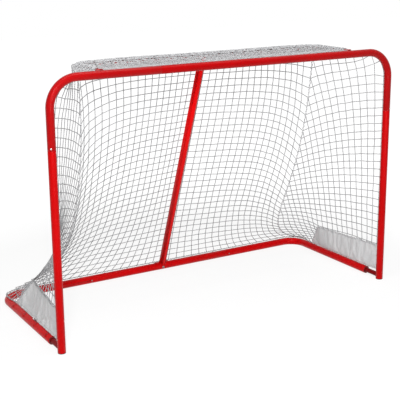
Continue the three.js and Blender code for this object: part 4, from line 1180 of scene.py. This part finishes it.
def margin_cords():
    """The margin of the net, rolled round the shelf bar: cords along it and cords wound over it."""
    corners = ((1, ROLL_START_Y), (1, SHELF_Y), (-1, SHELF_Y), (-1, ROLL_START_Y))
    bar, _ = bent_route([(sign * SHELF_X, y, SHELF_Z) for sign, y in corners], SHELF_BEND, steps=16)
    centres = even_steps(bar, ROLL_STEP)
    outward = np.cross(unit(np.gradient(centres, axis=0)), Z)
    on_tee = np.abs(centres[:, 0]) < TEE_HALF + TEE_MARGIN
    run = lengths_along(centres) * 2 * math.pi
    lines = []
    for i in range(ROLL_CORDS):
        angle = 2 * math.pi * (i + SWAY_REACH * np.sin(run / ROLL_SWAY + i * SWAY_SHIFT))[:, None] / ROLL_CORDS
        radius = mix(*ROLL_RADII, 0.5 + 0.5 * np.sin(run / ROLL_SWELL + i * SWELL_SHIFT))
        radius = np.where(on_tee, np.maximum(radius, OVER_TEE), radius)[:, None]
        lines.append(centres + radius * (np.cos(angle) * outward + np.sin(angle) * Z))
    lines += [helix(bar[::way], WINDING_RADIUS, pitch, start) for way, pitch, start in WINDINGS]
    return [run for line in lines for run in clear_runs(line, clear_of_post(line))]


SEAM_POINTS = 60
SEAM_LACE = {"around": 0.0042, "pitch": 0.024, "radius": 0.0010}


def build_net():
    rows, uprights = back_cords()
    rows, uprights = uneven(rows), uneven(uprights)
    cord_piece("net_back_rows", rows, TWINE_RADIUS, NET_TWINE, "net_back")
    cord_piece("net_back_uprights", uprights, TWINE_RADIUS, NET_TWINE)
    add_knots("net_back_knots", rows[:-1])
    rows, uprights = top_cords()
    cord_piece("net_top_panel", uneven(rows + uprights), TWINE_RADIUS, MARGIN_TWINE, "net_top")
    add_knots("net_top_knots", uneven(rows[1:-1]))
    cord_piece("net_rolled_margin", margin_cords(), ROLL_TWINE_RADIUS, MARGIN_TWINE, cuts=1)
    for side, sign in SIDES.items():
        rows, uprights = side_cords(sign)
        cord_piece(f"net_{side}_panel", uneven(rows + uprights), TWINE_RADIUS, NET_TWINE, f"net_{side}_side")
        add_knots(f"net_{side}_knots", uneven(rows))
        seam = mirrored(seam_at(np.linspace(0, 1, SEAM_POINTS)), sign)
        cord_piece(f"{side}_seam", [seam], SEAM_RADIUS, BORDER_TWINE, f"{side}_seam_cord")
        add_lacing(f"{side}_seam_lacing", [seam], material=BORDER_TWINE, **SEAM_LACE)


build_net()


# == Skirts ==
SKIRT_COLUMNS, SKIRT_ROWS = 92, 24
SKIRT_CORNERS = np.array([  # foot and top at the post, foot and top at the rear
    (POST_X, 0.030, 0.0475), (POST_X - 0.004, 0.0245, 0.191),
    SKIRT_FOOT_CORNER, SKIRT_TOP_CORNER - (0, 0, 0.002)])
RIPPLES = (0.0012, 0.0009)
SKIRT_THICKNESS = 0.0009
TIED_EVERY = 4  # columns along the foot and rows up the ends
CLOTH_FRAMES = 32
CLOTH = {
    "vertex_group_mass": "tied", "quality": 8, "mass": 0.08, "air_damping": 2, "shrink_min": -0.028,
    "tension_stiffness": 25, "compression_stiffness": 25, "shear_stiffness": 8, "bending_stiffness": 0.05}
TOUCH_OUTER, TOUCH_DISTANCE = 0.001, 0.0015
SKIRT_LACE = {"around": 0.0036, "pitch": 0.019, "radius": 0.0011}


def skirt_index(column, row):
    return column * (SKIRT_ROWS + 1) + row


def skirt_sheet(name, sign):
    """The flat panel, a little uneven so that it has somewhere to wrinkle."""
    along, up = share_grid(SKIRT_COLUMNS, SKIRT_ROWS)
    foot = mix(SKIRT_CORNERS[0], SKIRT_CORNERS[2], along[..., None])
    top = mix(SKIRT_CORNERS[1], SKIRT_CORNERS[3], along[..., None])
    points = mix(foot, top, up[..., None])
    ripple = RIPPLES[0] * np.sin(along * 31 + up * 9 + sign) + RIPPLES[1] * np.sin(along * 53 - up * 15)
    points[..., 0] += ripple * np.sin(math.pi * along) * np.sin(math.pi * up)
    faces = []
    for i in range(SKIRT_COLUMNS):
        for j in range(SKIRT_ROWS):
            quad = tuple(skirt_index(i + a, j + b) for a, b in ((0, 0), (1, 0), (1, 1), (0, 1)))
            faces.append(quad if sign > 0 else quad[::-1])
    piece = new_piece(name, mirrored(points, sign).reshape(-1, 3), faces, CLOTH_SMOOTH)
    uv = piece.data.uv_layers.new(name="weave")
    for loop in piece.data.loops:
        i, j = divmod(loop.vertex_index, SKIRT_ROWS + 1)
        uv.data[loop.index].uv = (i / SKIRT_COLUMNS * SKIRT_LENGTH, j / SKIRT_ROWS * SKIRT_HEIGHT)
    return piece


def skirt_ties():
    """The points that are tied: to the post, by the lacing along the side tube and to the knots of the net."""
    foot = [(column, 0) for column in range(0, SKIRT_COLUMNS + 1, TIED_EVERY)]
    top = [(round(column), SKIRT_ROWS) for column in np.linspace(0, SKIRT_COLUMNS, HEM_COLUMNS + 1)]
    ends = [(column, row) for column in (0, SKIRT_COLUMNS) for row in range(0, SKIRT_ROWS + 1, TIED_EVERY)]
    return sorted({skirt_index(*place) for place in foot + top + ends})


def skirt_edge():
    """The points round the rim: along the foot, up the rear end, back along the top and down at the post."""
    rim = [(column, 0) for column in range(SKIRT_COLUMNS)]
    rim += [(SKIRT_COLUMNS, row) for row in range(SKIRT_ROWS)]
    rim += [(column, SKIRT_ROWS) for column in range(SKIRT_COLUMNS, 0, -1)]
    rim += [(0, row) for row in range(SKIRT_ROWS, -1, -1)]
    return [skirt_index(*place) for place in rim]


def hang_cloth(piece, tied, obstacles):
    """Lets a sheet sag and wrinkle between its ties, and keeps what comes out as its mesh."""
    piece.vertex_groups.new(name="tied").add(tied, 1.0, "REPLACE")
    for obstacle in obstacles:
        obstacle.modifiers.new("touch", "COLLISION")
        obstacle.collision.thickness_outer = TOUCH_OUTER
    modifier = piece.modifiers.new("hang", "CLOTH")
    for setting, value in CLOTH.items():
        setattr(modifier.settings, setting, value)
    modifier.collision_settings.distance_min = TOUCH_DISTANCE
    modifier.point_cache.frame_end = CLOTH_FRAMES
    for moment in range(1, CLOTH_FRAMES + 1):
        scene.frame_set(moment)
    bake_modifiers(piece)
    piece.vertex_groups.clear()
    for obstacle in obstacles:
        obstacle.modifiers.clear()
    scene.frame_set(1)


def build_skirts():
    for side, sign in SIDES.items():
        touched = [f"{side}_base_bend", f"{side}_post_tube"]
        piece = skirt_sheet(f"{side}_skirt_cloth", sign)
        hang_cloth(piece, skirt_ties(), [bpy.data.objects[name] for name in touched])
        hem = np.array([piece.data.vertices[i].co for i in skirt_edge()]) - (0, GOAL_LINE_Y, 0)
        solid = piece.modifiers.new("thickness", "SOLIDIFY")
        solid.thickness, solid.offset = SKIRT_THICKNESS, 0
        bake_modifiers(piece)
        shade(piece, CLOTH_SMOOTH)
        dress(piece, SKIRT_CLOTH, f"{side}_skirt")
        cord_piece(f"{side}_skirt_hem", [hem], HEM_RADIUS, BORDER_TWINE, cuts=1, turns=0.0)
        rear_and_top = hem[SKIRT_COLUMNS:2 * SKIRT_COLUMNS + SKIRT_ROWS]
        add_lacing(f"{side}_skirt_lacing", [rear_and_top], material=NET_TWINE, **SKIRT_LACE)


build_skirts()


# == Studs, the loops that go over them, edge cords and ties ==
POST_STUD_LEVELS = (0.154, 0.304, 0.454, 0.604, 0.754, 1.054)
CROSSBAR_STUD_PLACES = [0.065 + 0.130 * i for i in range(5)]
BACK_STUD_PLACES = [0.070 + 0.140 * i for i in range(5)]
SIDE_STUD_PLACES = [0.150 + 0.145 * i for i in range(4)]
SIDE_STUD_RISE = math.radians(30)
STUD = [  # radius and height in millimetres
    (0, -1.0), (2.2, -1.0), (2.2, 3.2), (4.3, 4.2), (4.6, 4.8), (4.1, 5.6), (2.4, 6.3), (0, 6.5)]
STUD_NECK = 0.0040  # how far out from its tube a loop sits on a stud
LOOP_BEND, LOOP_FOOT, LOOP_POINTS = 0.0036, 0.002, 9
FRONT_POINTS, BASE_POINTS = 30, 24  # of an edge cord round the front frame, and of one over a base tube
BASE_LACE = {"around": 0.0030, "pitch": 0.015, "radius": 0.0008}
TIE_RADIUS = 0.0035  # of what a cable tie goes round, the skirt's hem
BAND_OUT, BAND_RADIUS, BAND_HALF, BAND_STEPS = 0.0007, 0.0006, 0.0005, 48
LOCK_OUT, LOCK_SIZE = 0.0026, (0.0046, 0.005, 0.0036)
TAIL_OUT, TAIL_MIDDLE, TAIL_LEAN, TAIL_SIZE = 0.004, 0.0065, 0.6, (0.010, 0.0024, 0.0011)
CLIP_OUT, CLIP_FROM_POST, CLIP_SIZE = unit((0.86, -0.51, 0)), FRONT_RADIUS + 0.002, (0.007, 0.006, 0.005)
HEM_Z = SKIRT_CORNERS[0][2]
TIE_Z = HEM_Z + 0.001
TIES = (  # name, place across and back, how far up the lock faces, material
    ("left_white_tie", -POST_X, 0.335, 0.6, WHITE_NYLON),
    ("left_black_tie", -POST_X, 0.312, 0.6, PLASTIC),
    ("right_black_tie", POST_X, 0.275, 0.5, PLASTIC))


def stud_places():
    """Each stud on its tube, for the net and for the skirts: its foot, its direction, and the edge it holds."""
    net, skirts = [], []
    for sign in SIDES.values():
        for z in POST_STUD_LEVELS:
            edge = (sign * (POST_X - FRONT_EDGE_INSET), NET_SET_BACK, z)
            net.append(((sign * POST_X, FRONT_RADIUS, z), Y, edge))
        for x in CROSSBAR_STUD_PLACES:
            net.append(((sign * x, FRONT_RADIUS, CROSSBAR_Z), Y, (sign * x, TOP_FRONT_Y, TOP_FRONT_Z)))
        for x in BACK_STUD_PLACES:
            edge = (sign * x, BASE_REAR_Y + FOOT_OUT, NET_FOOT_Z)
            net.append(((sign * x, BASE_REAR_Y + BASE_RADIUS, BASE_Z), Y, edge))
        rise = np.array((sign * math.cos(SIDE_STUD_RISE), 0, math.sin(SIDE_STUD_RISE)))
        for y in SIDE_STUD_PLACES:
            foot = np.array((sign * POST_X, y, BASE_Z)) + BASE_RADIUS * rise
            skirts.append((foot, rise, (sign * POST_X, y, HEM_Z)))
    return net, skirts


def loop_over(foot, out, edge):
    """A cord from the net's edge round a stud's neck and back."""
    neck, edge = np.asarray(foot) + STUD_NECK * out, np.asarray(edge)
    away = square_to(neck - edge, out)
    across = np.cross(out, away)
    bend = np.linspace(-math.pi / 2, math.pi / 2, LOOP_POINTS)[:, None]
    round_neck = neck + LOOP_BEND * (np.cos(bend) * away + np.sin(bend) * across)
    return np.concatenate([[edge - LOOP_FOOT * across], round_neck, [edge + LOOP_FOOT * across]])


def cable_tie(name, at, along, head_out, material):
    """A band round the skirt's hem, with its lock and a cut tail."""
    turn = np.linspace(0, 2 * math.pi, BAND_STEPS, endpoint=False)[:, None]
    head_out = square_to(unit(head_out), along)
    outward = np.cos(turn) * head_out + np.sin(turn) * np.cross(along, head_out)
    centres = at + (TIE_RADIUS + BAND_OUT) * outward
    radii = np.full(BAND_STEPS, BAND_RADIUS)
    bands = [ring_skin("band", centres + shift * along, np.cross(along, outward), radii, outward, True, sides=8)
             for shift in (-BAND_HALF, BAND_HALF)]
    lock = block("lock", at + (TIE_RADIUS + LOCK_OUT) * head_out, along, head_out, *LOCK_SIZE)
    tail_way = unit(np.cross(along, head_out) + TAIL_LEAN * head_out)
    tail = block("tail", at + (TIE_RADIUS + TAIL_OUT) * head_out + TAIL_MIDDLE * tail_way, tail_way,
                 square_to(head_out, tail_way), *TAIL_SIZE)
    dress(join(name, *bands, lock, tail), material)


def edge_cords():
    """Cords along the edges of the net: those behind the front frame, and those along the base."""
    front, base = [], []
    for sign, hang in HANGS.items():
        bend = front_edge(np.linspace(hang.edge_run, FRONT_RUNS[1][0], FRONT_POINTS))
        foot = (POST_X - FRONT_EDGE_INSET, NET_SET_BACK, HEM_FRONT_Z)
        front.append(mirrored(np.concatenate([bend, [foot]]), sign))
        side = [lower_edge(column) for column in np.linspace(FOOT_COLUMN, SIDE_COLUMNS, BASE_POINTS)]
        base.append(mirrored(np.array(side), sign))
    rows, _ = back_cords()
    rows_on_top, _ = top_cords()
    return [*front, rows_on_top[0]], [*base, rows[-1]]


def build_fixings():
    on_net, on_skirts = stud_places()
    feet, directions, _ = zip(*on_net, *on_skirts)
    scattered_piece("net_studs", STUD, 16, feet, directions, BASE_PAINT)
    for kind, places, twine in (("net", on_net, NET_TWINE), ("skirt", on_skirts, RED_LACE)):
        loops = [loop_over(*place) for place in places]
        cord_piece(f"{kind}_stud_loops", loops, LOOP_RADIUS, twine, cuts=2)
    front, base = edge_cords()
    cord_piece("net_edge_cords", front + base, EDGE_RADIUS, NET_TWINE, cuts=2)
    add_lacing("base_edge_lacing", base, material=NET_TWINE, **BASE_LACE)
    for name, x, y, rise, material in TIES:
        cable_tie(name, np.array((x, y, TIE_Z)), Y, (-1, 0, rise), material)
    clip_at = CLIP_OUT * CLIP_FROM_POST + (-POST_X, 0, POST_STUD_LEVELS[0])
    dress(block("left_white_clip", clip_at, Z, CLIP_OUT, *CLIP_SIZE), WHITE_NYLON)


build_fixings()

for joint in JOINTS.values():
    for kind in ("coupler", "button_clip"):
        for material_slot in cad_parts[f"{joint.name}_{kind}"].material_slots:
            material_slot.material = ZINC
